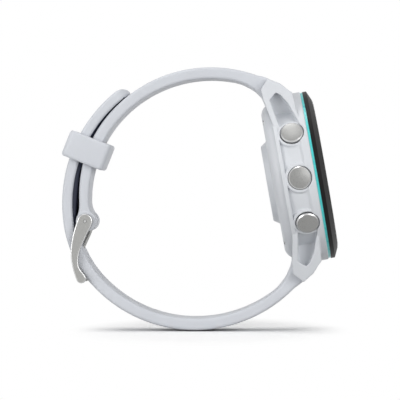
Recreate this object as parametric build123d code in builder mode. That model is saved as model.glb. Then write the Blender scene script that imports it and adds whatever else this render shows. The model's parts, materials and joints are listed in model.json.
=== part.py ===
from build123d import *
import os
from math import atan2, cos, degrees, radians, sin, sqrt

# GPS running watch, closed on its strap. +X leaves the dial, +Z points to 12 o'clock and
# +Y to 3 o'clock. The origin is the centre of the sensor window, where the wrist touches.
os.makedirs("parts", exist_ok=True)

# ---- Case stack: distances along +X from the wrist face ---------------------------------
hump_height = 1.5
cover_plate = 1.2
parting_x = 4.3
button_x = 8.1
flange_x = 9.9
case_top_x = 11.85
accent_ring_height = 0.57
bezel_height = 2.05
bezel_chamfer_height = 1.05
lens_thickness = 1.3

# ---- Case radii about the X axis: the wall's radius, and each other radius as a step from it
wall_radius = 20.4
flange_overhang = 0.65
back_taper = 0.9
back_bevel_width = 2.9
case_wall = 2.6
hump_radius = 9.3
hump_flare = 1.0
bezel_inset = 0.15
bezel_chamfer_width = 2.3
lens_margin = 0.2
ledge_width = 1.2
ring_width = 1.5
ring_inset = 0.3
spigot_wall = 1.8
spigot_height = 1.3

# ---- Fits -------------------------------------------------------------------------------
slip = 0.1
running = 0.05
gap = 0.15
face_gap = 0.02

# ---- Lugs and spring bars ---------------------------------------------------------------
strap_width = 18.0
lug_slack = 0.2
bar_x = 4.4
bar_reach = 2.6
lug_tip_width = 2.4
lug_tip_reach = 2.3
lug_flare = 0.34
pocket_web = 1.2
pocket_wall = 1.4
pocket_fillet = 0.5
bar_radius = 0.75
bar_tip_radius = 0.4
bar_tip_reach = 1.1
bar_wall = 0.3
release_travel = 1.1
release_knob_radius = 0.45
release_knob_reach = 3.1
release_y = -5.2

# ---- Push buttons -----------------------------------------------------------------------
button_angle = 32.5
cap_radius = 2.8
cap_thickness = 1.6
cap_proud = 0.75
cap_chamfer = 0.35
socket_depth = 1.5
boss_wall = 0.85
boss_chamfer = 0.25
boss_rise = 0.05
stem_radius = 1.0
stem_length = 3.4
stem_tip_radius = 0.5
stem_tip_length = 0.8
seal_width = 0.4
seal_depth = 0.3
clip_thickness = 0.25
clip_radius = 1.6
clip_depth = 0.25
button_travel = 0.5
switch_depth = 2.4
switch_width = 3.2
switch_height = 2.4

# ---- Parts inside the case --------------------------------------------------------------
screw_radius = 0.6
screw_head_radius = 1.3
screw_head_height = 0.8
screw_length = 5.6
screw_inset = 1.5
screw_angle = 30.0
post_radius = 1.6
post_height = 3.4
gasket_width = 0.5
gasket_depth = 0.5
battery_room = 1.5
battery_height = 3.0
battery_x = 2.95
board_inset = 1.7
board_thickness = 0.8
board_x = 6.1
frame_x = 10.05
frame_thickness = 1.55
display_inset = 0.3
display_thickness = 1.25
antenna_inset = 1.5
antenna_width = 1.2
antenna_height = 0.5
motor_share = 0.22
motor_height = 2.2
motor_angle = 137.0
buzzer_share = 0.26
buzzer_height = 1.2
shield_share = 0.6
shield_height = 1.4
shield_wall = 0.2
module_margin = 0.8
module_thickness = 0.6
window_radius = 7.6
window_thickness = 0.8
led_size = 1.6
led_height = 0.3
led_orbit_radius = 3.4
diode_size = 2.4
contact_radius = 0.5
contact_pitch = 1.9
contact_count = 4
port_room = 2.9
port_length = 8.4
port_width = 3.2
port_depth = 0.5

# ---- Strap loop in the XZ plane ---------------------------------------------------------
wrist_axis_z = -2.0
loop_radius = 31.6
clasp_angle = 125.0
clasp_tightening = 1.25
strap_thickness = 2.5
tail_thickness = 2.6
strap_edge = 0.7
buckle_end_width = 16.0
pin_inset = 0.33
buckle_angle = 178.9
tail_tip_angle = 119.0
tail_gap_at_tip = 0.15
tail_gap_at_buckle = 1.25
tail_spread = 2.6
buckle_bend_tightening = 5.1
buckle_bend_sweep = 32.7
strap_root_radius = 2.2
root_corner = 0.5
root_blend = 6.0
root_share = 0.06
barrel_radius = 2.5
barrel_blend = 5.0
hole_run = 8.3
hole_length = 4.2
hole_width = 2.4
hole_pitch = 6.5
holes_above = 5
holes_below = 3

# ---- Buckle, tongue and keeper ----------------------------------------------------------
pin_radius = 0.7
pin_tip_radius = 0.32
arm_thickness = 1.4
arm_gap = 0.25
arm_bore = 0.5
arm_bevel = 0.35
head_radius = 1.85
cross_bar_radius = 0.95
bar_run = 12.4
bar_clearance = 0.15
arm_bow_out = 1.5
arm_bow_in = 0.65
arm_bow_in_z = -8.3
arm_bow_out_z = -7.4
tongue_thickness = 0.8
tongue_width = 2.0
tongue_eye_radius = 1.4
tongue_shift = -0.15
tongue_lean = 0.6
tongue_inside = 0.1
tongue_outside = -0.2
tongue_tip = 0.6
tongue_bend = 0.9
notch_width = 2.6
keeper_angle = 148.4
keeper_length = 6.6
keeper_fillet = 0.9
keeper_inner_clearance = 0.5
keeper_outer_clearance = 0.35
keeper_strap_gap = 1.2
keeper_inner_wall = 2.25
keeper_outer_wall = 1.15
keeper_side_wall = 1.5
keeper_edge = 0.5
keeper_travel_up = 18.0

# ---- Derived sizes and positions --------------------------------------------------------
flange_radius = wall_radius + flange_overhang
back_edge_radius = wall_radius - back_taper
back_flat_radius = back_edge_radius - back_bevel_width
cavity_radius = wall_radius - case_wall
hump_base_radius = hump_radius + hump_flare
bezel_radius = flange_radius - bezel_inset
bezel_top_radius = bezel_radius - bezel_chamfer_width
lens_radius = bezel_top_radius - lens_margin
ledge_radius = lens_radius - ledge_width
lug_gap = strap_width + lug_slack
bar_z = wall_radius + bar_reach
lug_tip_half = lug_gap / 2 + lug_tip_width
lug_tip_z = bar_z + lug_tip_reach
button_z = wall_radius * sin(radians(button_angle))
lug_root_z = button_z - cap_radius / 2
lug_root_half = lug_tip_half + lug_flare * (lug_tip_z - lug_root_z)
pocket_root_z = button_z + cap_radius / 2
boss_radius = cap_radius + boss_wall
screw_orbit_radius = cavity_radius - screw_inset
battery_radius = screw_orbit_radius - post_radius - battery_room
board_radius = cavity_radius - board_inset
display_radius = ledge_radius - display_inset
antenna_radius = cavity_radius - antenna_inset
motor_radius = motor_share * board_radius
buzzer_radius = buzzer_share * board_radius
shield_size = shield_share * board_radius
module_radius = window_radius + module_margin
port_z = port_room - back_flat_radius
tail_overlap_radius = loop_radius + tail_spread
buckle_bend_radius = loop_radius - buckle_bend_tightening
bezel_x = case_top_x + accent_ring_height
bezel_top_x = bezel_x + bezel_height
lens_x = bezel_top_x + gap - lens_thickness
pin_orbit = loop_radius - pin_inset
loop_x = bar_x - sqrt(pin_orbit**2 - (bar_z - wrist_axis_z) ** 2)
loop_centre = Vector(loop_x, wrist_axis_z)
clasp_radius = loop_radius - clasp_tightening
bar_angle = degrees(atan2(bar_z - wrist_axis_z, bar_x - loop_x))
plate_top_x = hump_height + cover_plate
spigot_top_x = parting_x + spigot_height
boss_face = wall_radius + boss_rise
strap_outer = loop_radius + strap_thickness / 2
screw_angles = (screw_angle, 180 - screw_angle, 180 + screw_angle, -screw_angle)
knob_slot_width = 2 * (release_knob_radius + slip)
knob_slot_length = release_travel + knob_slot_width


def polar(centre, radius, angle):
    """Point at a radius and angle about a centre in the XZ plane."""
    return centre + Vector(radius * cos(radians(angle)), radius * sin(radians(angle)))


def half_width(x):
    """Half width of both straps, which narrow evenly from the lugs to the buckle."""
    share = (bar_x - x) / (bar_x - buckle_pin.X)
    return (strap_width + (buckle_end_width - strap_width) * share) / 2


def radial_plane(distance, angle, side):
    """Plane across a button's axis, facing outward, at a distance from the case axis."""
    outward = Vector(0, side * cos(radians(angle)), sin(radians(angle)))
    origin = Vector(button_x, 0, 0) + outward * distance
    return Plane(origin=origin, x_dir=(1, 0, 0), z_dir=outward)


def save(piece, name):
    """Label a finished piece and write it as its own STEP file."""
    piece.part.label = name
    export_step(piece.part, f"parts/{name}.step")


buckle_pin = polar(loop_centre, pin_orbit, buckle_angle)
clasp_centre = polar(loop_centre, clasp_tightening, clasp_angle)
barrel_angle = 180 + degrees(atan2(clasp_centre.Y - buckle_pin.Y, clasp_centre.X - buckle_pin.X))
barrel_centre = polar(clasp_centre, clasp_radius, barrel_angle)
button_places = {
    "light_button": (button_angle, -1),
    "up_button": (0.0, -1),
    "down_button": (-button_angle, -1),
    "start_button": (button_angle, 1),
    "back_button": (-button_angle, 1),
}

# ---- Lugs: side profile swept across, trimmed by the plan of the horns -------------------
with BuildPart() as lugs:
    with BuildSketch(Plane.XZ):
        with BuildLine():
            Polyline(
                (flange_x, flange_radius - 0.1),
                (flange_x - 0.7, flange_radius + 0.5),
                (bar_x + 3.0, bar_z + 0.6),
                (bar_x + 0.3, lug_tip_z),
                (bar_x - 1.9, bar_z),
                (bar_x - 1.8, bar_z - 2.4),
                (parting_x + 0.4, lug_root_z),
                (flange_x + 0.8, lug_root_z),
                close=True,
            )
        make_face()
    extrude(amount=lug_root_half + 2, both=True)
    with BuildSketch(Plane.YZ):
        with BuildLine():
            Polyline(
                (lug_gap / 2, lug_tip_z),
                (lug_tip_half, lug_tip_z),
                (lug_root_half, lug_root_z),
                (lug_root_half, 0),
                (lug_gap / 2, 0),
                close=True,
            )
        make_face()
        mirror(about=Plane.YZ)
    extrude(amount=case_top_x, mode=Mode.INTERSECT)
    with BuildSketch(Plane.YZ):
        Circle(back_edge_radius + gap)
    extrude(amount=parting_x, mode=Mode.SUBTRACT)
    mirror(about=Plane.XY)

with BuildPart() as lug_pockets:
    with BuildSketch(Plane.XZ):
        with BuildLine():
            Polyline(
                (bar_x + 1.6, bar_z - 1.4),
                (bar_x - 0.2, bar_z - 3.0),
                (parting_x + 1.2, pocket_root_z),
                (flange_x + 0.6, pocket_root_z),
                (flange_x - 1.5, bar_z - 4.6),
                (bar_x + 2.6, bar_z - 2.3),
                close=True,
            )
        pocket_face = make_face()
        fillet(pocket_face.vertices(), pocket_fillet)
    extrude(amount=lug_root_half + 2, both=True)
    with BuildSketch(Plane.YZ):
        Rectangle(lug_gap + 2 * pocket_web, 2 * lug_tip_z)
        Circle(cavity_radius + pocket_wall)
    extrude(amount=case_top_x, mode=Mode.SUBTRACT)
    mirror(about=Plane.XY)

with BuildPart() as case_housing:
    with BuildSketch(Plane.XZ):
        with BuildLine():
            Polyline(
                (parting_x, 0),
                (parting_x, back_edge_radius),
                (flange_x - 0.6, wall_radius),
                (flange_x, flange_radius),
                (case_top_x, flange_radius),
                (case_top_x, 0),
                close=True,
            )
        make_face()
    revolve(axis=Axis.X)
    add(lugs.part)
    add(lug_pockets.part, mode=Mode.SUBTRACT)
    for angle, side in button_places.values():
        with BuildSketch(radial_plane(cavity_radius - 1, angle, side)):
            Circle(boss_radius)
        extrude(amount=boss_face - boss_chamfer - cavity_radius + 1)
        with BuildSketch(radial_plane(boss_face - boss_chamfer, angle, side)):
            Circle(boss_radius)
        extrude(amount=boss_chamfer, taper=45)
    with BuildSketch(Plane.YZ.offset(parting_x)):
        Circle(cavity_radius)
    extrude(amount=case_top_x - parting_x, mode=Mode.SUBTRACT)
    with BuildSketch(Plane.YZ.offset(spigot_top_x + face_gap)):
        for angle in screw_angles:
            with PolarLocations(screw_orbit_radius, 1, start_angle=90 - angle):
                Circle(post_radius)
    extrude(amount=post_height)
    for angle, side in button_places.values():
        with BuildSketch(radial_plane(boss_face - socket_depth, angle, side)):
            Circle(cap_radius + gap)
        extrude(amount=socket_depth + 1, mode=Mode.SUBTRACT)
        with BuildSketch(radial_plane(cavity_radius - 1, angle, side)):
            Circle(stem_radius + running)
        extrude(amount=socket_depth + 2, mode=Mode.SUBTRACT)
    with BuildSketch(Plane.YZ.offset(spigot_top_x)):
        for angle in screw_angles:
            with PolarLocations(screw_orbit_radius, 1, start_angle=90 - angle):
                Circle(screw_radius + face_gap)
    extrude(amount=post_height, mode=Mode.SUBTRACT)
    with BuildSketch(Plane.XZ):
        with Locations((bar_x, bar_z), (bar_x, -bar_z)):
            Circle(bar_tip_radius + running)
    extrude(amount=lug_gap / 2 + bar_tip_reach, both=True, mode=Mode.SUBTRACT)
save(case_housing, "case_housing")

# ---- Accent ring, bezel and lens --------------------------------------------------------
with BuildPart() as accent_ring:
    with BuildSketch(Plane.YZ.offset(case_top_x)):
        Circle(flange_radius - ring_inset)
        Circle(flange_radius - ring_inset - ring_width, mode=Mode.SUBTRACT)
    extrude(amount=accent_ring_height)
save(accent_ring, "accent_ring")

with BuildPart() as bezel:
    with BuildSketch(Plane.XZ):
        with BuildLine():
            Polyline(
                (case_top_x, cavity_radius + slip),
                (case_top_x, flange_radius - ring_inset - ring_width - slip),
                (bezel_x, flange_radius - ring_inset - ring_width - slip),
                (bezel_x, bezel_radius),
                (bezel_top_x - bezel_chamfer_height, bezel_radius),
                (bezel_top_x, bezel_top_radius),
                (bezel_top_x, lens_radius + running),
                (lens_x - gap, lens_radius + running),
                (lens_x - gap, ledge_radius),
                (bezel_x, ledge_radius),
                close=True,
            )
        make_face()
    revolve(axis=Axis.X)
save(bezel, "bezel")

with BuildPart() as lens_gasket:
    with BuildSketch(Plane.YZ.offset(lens_x - gap)):
        Circle(lens_radius)
        Circle(ledge_radius, mode=Mode.SUBTRACT)
    extrude(amount=gap)
save(lens_gasket, "lens_gasket")

with BuildPart() as lens:
    with BuildSketch(Plane.YZ.offset(lens_x)):
        Circle(lens_radius)
    extrude(amount=lens_thickness)
    chamfer(lens.faces().sort_by(Axis.X)[-1].edges(), gap)
save(lens, "lens")

# ---- Display, mid frame and electronics -------------------------------------------------
with BuildPart() as display_panel:
    with BuildSketch(Plane.YZ.offset(lens_x - gap - display_thickness)):
        Circle(display_radius)
    extrude(amount=display_thickness)
save(display_panel, "display_panel")

with BuildPart() as mid_frame:
    with BuildSketch(Plane.YZ.offset(frame_x)):
        Circle(cavity_radius - slip)
        with PolarLocations(board_radius - buzzer_radius, 4, start_angle=45):
            Circle(post_radius, mode=Mode.SUBTRACT)
    extrude(amount=frame_thickness)
    with BuildSketch(Plane.YZ.offset(frame_x + frame_thickness)):
        Circle(display_radius - ledge_width)
    extrude(amount=-frame_thickness / 2, mode=Mode.SUBTRACT)
save(mid_frame, "mid_frame")

with BuildPart() as gps_antenna:
    with BuildSketch(Plane.YZ.offset(frame_x - antenna_height)):
        Circle(antenna_radius)
        Circle(antenna_radius - antenna_width, mode=Mode.SUBTRACT)
    extrude(amount=antenna_height)
save(gps_antenna, "gps_antenna")

with BuildPart() as main_board:
    with BuildSketch(Plane.YZ.offset(board_x)):
        Circle(board_radius)
        for angle in screw_angles:
            with PolarLocations(screw_orbit_radius, 1, start_angle=90 - angle):
                Circle(post_radius + gap, mode=Mode.SUBTRACT)
    extrude(amount=board_thickness)
save(main_board, "main_board")

board_top = board_x + board_thickness
with BuildPart() as processor_shield:
    with BuildSketch(Plane.YZ.offset(board_top)):
        with Locations((shield_size * 0.43, shield_size * 0.43)):
            RectangleRounded(shield_size, shield_size, shield_wall * 2)
    extrude(amount=shield_height)
    offset(amount=-shield_wall, openings=processor_shield.faces().sort_by(Axis.X)[0])
save(processor_shield, "processor_shield")

with BuildPart() as vibration_motor:
    with BuildSketch(Plane.YZ.offset(board_top)):
        with PolarLocations(board_radius / 2, 1, start_angle=motor_angle):
            Circle(motor_radius)
    extrude(amount=motor_height)
    chamfer(vibration_motor.faces().sort_by(Axis.X)[-1].edges(), shield_wall)
save(vibration_motor, "vibration_motor")

with BuildPart() as buzzer:
    with BuildSketch(Plane.YZ.offset(board_top)):
        with Locations((0, -board_radius / 2)):
            Circle(buzzer_radius)
    extrude(amount=buzzer_height)
save(buzzer, "buzzer")

with BuildPart() as battery:
    with BuildSketch(Plane.YZ.offset(battery_x)):
        Circle(battery_radius)
    extrude(amount=battery_height)
    fillet(battery.edges(), board_thickness / 2)
save(battery, "battery")

# ---- Back cover, sensor and charging port -----------------------------------------------
with BuildPart() as back_cover:
    with BuildSketch(Plane.XZ):
        with BuildLine():
            Line((parting_x, 0), (0, 0))
            Line((0, 0), (0, hump_radius))
            Line((0, hump_radius), (hump_height, hump_base_radius))
            Line((hump_height, hump_base_radius), (hump_height, back_flat_radius))
            ThreePointArc(
                (hump_height, back_flat_radius),
                (hump_height + 0.25 * (parting_x - hump_height), back_edge_radius - 1.1),
                (parting_x, back_edge_radius),
            )
            Line((parting_x, back_edge_radius), (parting_x, 0))
        make_face()
    revolve(axis=Axis.X)
    with BuildSketch(Plane.YZ.offset(parting_x)):
        Circle(cavity_radius - slip)
    extrude(amount=spigot_height)
    with BuildSketch(Plane.YZ.offset(plate_top_x)):
        Circle(cavity_radius - slip - spigot_wall)
    extrude(amount=spigot_top_x - plate_top_x, mode=Mode.SUBTRACT)
    with BuildSketch(Plane.YZ.offset(window_thickness)):
        Circle(module_radius + gap)
    extrude(amount=plate_top_x - window_thickness, mode=Mode.SUBTRACT)
    with BuildSketch(Plane.YZ):
        Circle(window_radius + running)
    extrude(amount=window_thickness, mode=Mode.SUBTRACT)
    with BuildSketch(Plane.YZ.offset(plate_top_x)):
        for angle in screw_angles:
            with PolarLocations(screw_orbit_radius, 1, start_angle=90 - angle):
                Circle(post_radius)
    extrude(amount=spigot_top_x - plate_top_x)
    with BuildSketch(Plane.YZ.offset(parting_x)):
        Circle(flange_radius)
        Circle(cavity_radius - slip, mode=Mode.SUBTRACT)
    extrude(amount=spigot_height, mode=Mode.SUBTRACT)
    with BuildSketch(Plane.YZ.offset(parting_x + spigot_height / 2 - gasket_width / 2)):
        Circle(cavity_radius)
        Circle(cavity_radius - slip - gasket_depth, mode=Mode.SUBTRACT)
    extrude(amount=gasket_width, mode=Mode.SUBTRACT)
    for angle in screw_angles:
        with BuildSketch(Plane.YZ.offset(hump_height)):
            with PolarLocations(screw_orbit_radius, 1, start_angle=90 - angle):
                Circle(screw_head_radius + running)
        extrude(amount=screw_head_height + slip, mode=Mode.SUBTRACT)
        with BuildSketch(Plane.YZ.offset(hump_height)):
            with PolarLocations(screw_orbit_radius, 1, start_angle=90 - angle):
                Circle(screw_radius + running)
        extrude(amount=spigot_top_x - hump_height, mode=Mode.SUBTRACT)
    with BuildSketch(Plane.YZ.offset(hump_height)):
        with Locations((0, port_z)):
            SlotOverall(port_length, port_width)
    extrude(amount=port_depth, mode=Mode.SUBTRACT)
    with BuildSketch(Plane.YZ.offset(hump_height)):
        with Locations((0, port_z)):
            with GridLocations(contact_pitch, 1, contact_count, 1):
                Circle(contact_radius + face_gap)
    extrude(amount=cover_plate, mode=Mode.SUBTRACT)
save(back_cover, "back_cover")

with BuildPart() as cover_gasket:
    with BuildSketch(Plane.YZ.offset(parting_x + spigot_height / 2 - gasket_width / 2 + face_gap)):
        Circle(cavity_radius - face_gap)
        Circle(cavity_radius - slip - gasket_depth + face_gap, mode=Mode.SUBTRACT)
    extrude(amount=gasket_width - 2 * face_gap)
save(cover_gasket, "cover_gasket")

with BuildPart() as cover_screws:
    for angle in screw_angles:
        with BuildSketch(Plane.YZ.offset(hump_height + slip)):
            with PolarLocations(screw_orbit_radius, 1, start_angle=90 - angle):
                Circle(screw_head_radius)
        extrude(amount=screw_head_height)
        with BuildSketch(Plane.YZ.offset(hump_height + slip)):
            with PolarLocations(screw_orbit_radius, 1, start_angle=90 - angle):
                Circle(screw_radius)
        extrude(amount=screw_length)
        with BuildSketch(Plane.YZ.offset(hump_height + slip)):
            with PolarLocations(screw_orbit_radius, 1, start_angle=90 - angle):
                RegularPolygon(screw_head_radius / 2, 6)
        extrude(amount=screw_head_height / 2, mode=Mode.SUBTRACT)
save(cover_screws, "cover_screws")

with BuildPart() as charging_contacts:
    with BuildSketch(Plane.YZ.offset(hump_height + port_depth - 0.2)):
        with Locations((0, port_z)):
            with GridLocations(contact_pitch, 1, contact_count, 1):
                Circle(contact_radius)
    extrude(amount=plate_top_x - hump_height - port_depth + 0.2)
save(charging_contacts, "charging_contacts")

with BuildPart() as sensor_window:
    with BuildSketch(Plane.YZ):
        Circle(window_radius)
    extrude(amount=window_thickness)
save(sensor_window, "sensor_window")

module_x = window_thickness + led_height
with BuildPart() as sensor_board:
    with BuildSketch(Plane.YZ.offset(module_x)):
        Circle(module_radius)
    extrude(amount=module_thickness)
save(sensor_board, "sensor_board")

with BuildPart() as sensor_leds:
    with BuildSketch(Plane.YZ.offset(module_x - led_height + face_gap)):
        with PolarLocations(led_orbit_radius, 3, start_angle=90):
            Rectangle(led_size, led_size)
    extrude(amount=led_height - face_gap)
save(sensor_leds, "sensor_leds")

with BuildPart() as sensor_photodiodes:
    with BuildSketch(Plane.YZ.offset(module_x - led_height + face_gap)):
        with PolarLocations(led_orbit_radius, 3, start_angle=30):
            Rectangle(diode_size, diode_size)
    extrude(amount=led_height - face_gap)
save(sensor_photodiodes, "sensor_photodiodes")

# ---- Push buttons: cap with stem, seal, retaining clip and switch ------------------------
cap_face = boss_face + cap_proud
cap_base = cap_face - cap_thickness
stem_end = cap_base - stem_length
seal_top = boss_face - socket_depth - slip
clip_top = cavity_radius - clip_depth - slip
switch_face = stem_end - button_travel - slip

for name, (angle, side) in button_places.items():
    with BuildPart() as cap:
        with BuildSketch(radial_plane(cap_base, angle, side)):
            Circle(cap_radius)
        extrude(amount=cap_thickness)
        outward = Axis((0, 0, 0), radial_plane(0, angle, side).z_dir)
        chamfer(cap.faces().sort_by(outward)[-1].edges(), cap_chamfer)
        with BuildSketch(radial_plane(stem_end, angle, side)):
            Circle(stem_radius)
        extrude(amount=stem_length)
        with BuildSketch(radial_plane(stem_end - stem_tip_length, angle, side)):
            Circle(stem_tip_radius)
        extrude(amount=stem_tip_length)
        with BuildSketch(radial_plane(seal_top - seal_width - 2 * face_gap, angle, side)):
            Circle(stem_radius)
            Circle(stem_radius - seal_depth, mode=Mode.SUBTRACT)
        extrude(amount=seal_width + 2 * face_gap, mode=Mode.SUBTRACT)
        with BuildSketch(radial_plane(clip_top - clip_thickness - face_gap, angle, side)):
            Circle(stem_radius)
            Circle(stem_radius - clip_depth, mode=Mode.SUBTRACT)
        extrude(amount=clip_thickness + 2 * face_gap, mode=Mode.SUBTRACT)
    save(cap, f"{name}_cap")

    with BuildPart() as seal:
        with BuildSketch(radial_plane(seal_top - seal_width - face_gap, angle, side)):
            Circle(stem_radius + running / 2)
            Circle(stem_radius - seal_depth + face_gap, mode=Mode.SUBTRACT)
        extrude(amount=seal_width)
    save(seal, f"{name}_seal")

    with BuildPart() as clip:
        with BuildSketch(radial_plane(clip_top - clip_thickness, angle, side)):
            Circle(clip_radius)
            Circle(stem_radius - clip_depth + face_gap, mode=Mode.SUBTRACT)
            with Locations((0, -clip_radius)):
                Rectangle(stem_radius, 2 * clip_radius, mode=Mode.SUBTRACT)
        extrude(amount=clip_thickness)
    save(clip, f"{name}_clip")

    with BuildPart() as switch:
        with BuildSketch(radial_plane(switch_face - switch_depth, angle, side)):
            Rectangle(switch_height, switch_width)
        extrude(amount=switch_depth)
        with BuildSketch(radial_plane(switch_face - stem_tip_length, angle, side)):
            Circle(stem_tip_radius + running)
        extrude(amount=stem_tip_length, mode=Mode.SUBTRACT)
    save(switch, f"{name}_switch")

# ---- Strap profile pieces shared by both straps ------------------------------------------
upper_bar = Vector(bar_x, bar_z)
lower_bar = Vector(bar_x, -bar_z)
tail_tip = polar(loop_centre, strap_outer + tail_gap_at_tip + tail_thickness / 2, tail_tip_angle)
tail_at_pin = polar(loop_centre, strap_outer + tail_gap_at_buckle + tail_thickness / 2, 180)


def root_outline(bar, side, start):
    """Circles whose hull is the strap's root between the lugs, on the 12 or 6 o'clock side."""
    with Locations(bar):
        Circle(strap_root_radius)
    with Locations(bar + Vector(-1.35, -3.0 * side), bar + Vector(2.4, -0.9 * side)):
        Circle(root_corner)
    with Locations(start):
        Circle(strap_thickness / 2)
    make_hull()


def taper_outline(reach):
    """Plan corners of both straps, narrowing from the lugs to past the buckle."""
    tail_x = buckle_pin.X - reach
    right = [(bar_x + reach, strap_width / 2), (bar_x, strap_width / 2), (tail_x, half_width(tail_x))]
    return right + [(x, -y) for x, y in reversed(right)]


def knob_plane(bar):
    """Plane through a spring bar at its release knob, facing the wrist."""
    return Plane(origin=(bar.X, release_y, bar.Y), x_dir=(0, 1, 0), z_dir=(-1, 0, 0))


def side_edges(builder):
    """Edges round the strap's side faces, clear of the root between the lugs."""
    sides = [face for face in builder.faces() if abs(face.normal_at().Y) > 0.9]
    edges = ShapeList(edge for face in sides for edge in face.edges())
    return edges.filter_by(lambda edge: edge.center().X < bar_x - strap_root_radius)


# ---- Buckle strap: one arc of the loop, with a root at the lugs and a barrel at the pin --
with BuildPart() as buckle_strap:
    with BuildSketch(Plane.XZ) as strap_side:
        with BuildLine():
            crown = CenterArc(loop_centre, loop_radius, bar_angle, clasp_angle - bar_angle)
            JernArc(crown @ 1, crown % 1, clasp_radius, barrel_angle - clasp_angle)
        trace(line_width=strap_thickness)
        with Locations(barrel_centre):
            Circle(barrel_radius)
        fillet(strap_side.vertices().sort_by(Axis.X)[:2], barrel_blend)
    extrude(amount=strap_width / 2, both=True)
    with BuildSketch(Plane.XY):
        with BuildLine():
            Polyline(*taper_outline(strap_width), close=True)
        make_face()
    extrude(amount=2 * loop_radius, both=True, mode=Mode.INTERSECT)
    fillet(side_edges(buckle_strap), strap_edge)
    with BuildSketch(Plane.XZ):
        root_outline(upper_bar, 1, polar(loop_centre, loop_radius, bar_angle + root_blend))
    extrude(amount=strap_width / 2, both=True)
    with BuildSketch(Plane.XZ):
        with Locations(upper_bar):
            Circle(bar_radius + running)
        with Locations(buckle_pin):
            Circle(pin_radius + face_gap)
    extrude(amount=strap_width, both=True, mode=Mode.SUBTRACT)
    with BuildSketch(Plane.XZ):
        with Locations(buckle_pin + Vector(0, -barrel_radius)):
            Rectangle(4 * barrel_radius, 2 * (barrel_radius + tongue_eye_radius + gap))
    extrude(amount=notch_width / 2, both=True, mode=Mode.SUBTRACT)
    with BuildSketch(knob_plane(upper_bar)):
        with Locations((release_travel / 2, 0)):
            SlotOverall(knob_slot_length, knob_slot_width)
    extrude(amount=2 * strap_root_radius, mode=Mode.SUBTRACT)
save(buckle_strap, "buckle_strap")

# ---- Tail strap: up from the lower lugs, through the buckle and round the buckle strap ---
with BuildLine() as tail_path:
    overlap = RadiusArc(tail_at_pin, tail_tip, tail_overlap_radius)
    bend = JernArc(tail_at_pin, (overlap % 0) * -1, buckle_bend_radius, buckle_bend_sweep)
    arch = TangentArc(bend @ 1, lower_bar, tangent=bend % 1)


def tail_frame(run):
    """Point, direction and outward normal on the tail's centreline in the XZ plane.

    The run is measured from the buckle pin, positive towards the tip.
    """
    if run > 0:
        edge, distance, sign = overlap, run, 1
    elif -run < bend.length:
        edge, distance, sign = bend, -run, -1
    else:
        edge, distance, sign = arch, -run - bend.length, -1
    point = edge.position_at(distance, position_mode=PositionMode.LENGTH)
    along = edge.tangent_at(distance, position_mode=PositionMode.LENGTH) * sign
    return point, along, Vector(-along.Y, along.X)


def tail_plane(run):
    """Plane across a hole of the tail, facing outward."""
    point, along, outward = tail_frame(run)
    return Plane(
        origin=(point.X, 0, point.Y), x_dir=(along.X, 0, along.Y), z_dir=(outward.X, 0, outward.Y)
    )


with BuildPart() as tail_strap:
    with BuildSketch(Plane.XZ):
        with BuildLine():
            add(tail_path.line)
        trace(line_width=tail_thickness)
        with Locations(tail_tip):
            Circle(tail_thickness / 2)
    extrude(amount=strap_width / 2, both=True)
    with BuildSketch(Plane.XY):
        with BuildLine():
            Polyline(*taper_outline(strap_width), close=True)
        make_face()
    extrude(amount=2 * loop_radius, both=True, mode=Mode.INTERSECT)
    fillet(side_edges(tail_strap), strap_edge)
    with BuildSketch(Plane.XZ):
        root_outline(lower_bar, -1, arch.position_at(1 - root_share))
    extrude(amount=strap_width / 2, both=True)
    with BuildSketch(Plane.XZ):
        with Locations(lower_bar):
            Circle(bar_radius + running)
    extrude(amount=strap_width, both=True, mode=Mode.SUBTRACT)
    for index in range(-holes_below, holes_above + 1):
        with BuildSketch(tail_plane(index * hole_pitch - hole_run)):
            SlotOverall(hole_length, hole_width)
        extrude(amount=tail_thickness, both=True, mode=Mode.SUBTRACT)
    with BuildSketch(knob_plane(lower_bar)):
        with Locations((release_travel / 2, 0)):
            SlotOverall(knob_slot_length, knob_slot_width)
    extrude(amount=2 * strap_root_radius, mode=Mode.SUBTRACT)
save(tail_strap, "tail_strap")

# ---- Buckle: pin, frame with two curved arms and a cross bar, and tongue ----------------
arm_inner = half_width(buckle_pin.X) + arm_gap
arm_outer = arm_inner + arm_thickness
bar_point, _, bar_outward = tail_frame(-bar_run)
bar_end = bar_point + bar_outward * (tail_thickness / 2 + bar_clearance + cross_bar_radius)
tongue_rest = bar_end - Vector(cross_bar_radius - tongue_thickness / 2, 0)

with BuildPart() as buckle_spring_bar:
    with BuildSketch(Plane.XZ):
        with Locations(buckle_pin):
            Circle(pin_radius)
    extrude(amount=arm_inner - slip, both=True)
    with BuildSketch(Plane.XZ):
        with Locations(buckle_pin):
            Circle(pin_tip_radius)
    extrude(amount=arm_outer, both=True)
save(buckle_spring_bar, "buckle_spring_bar")

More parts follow.
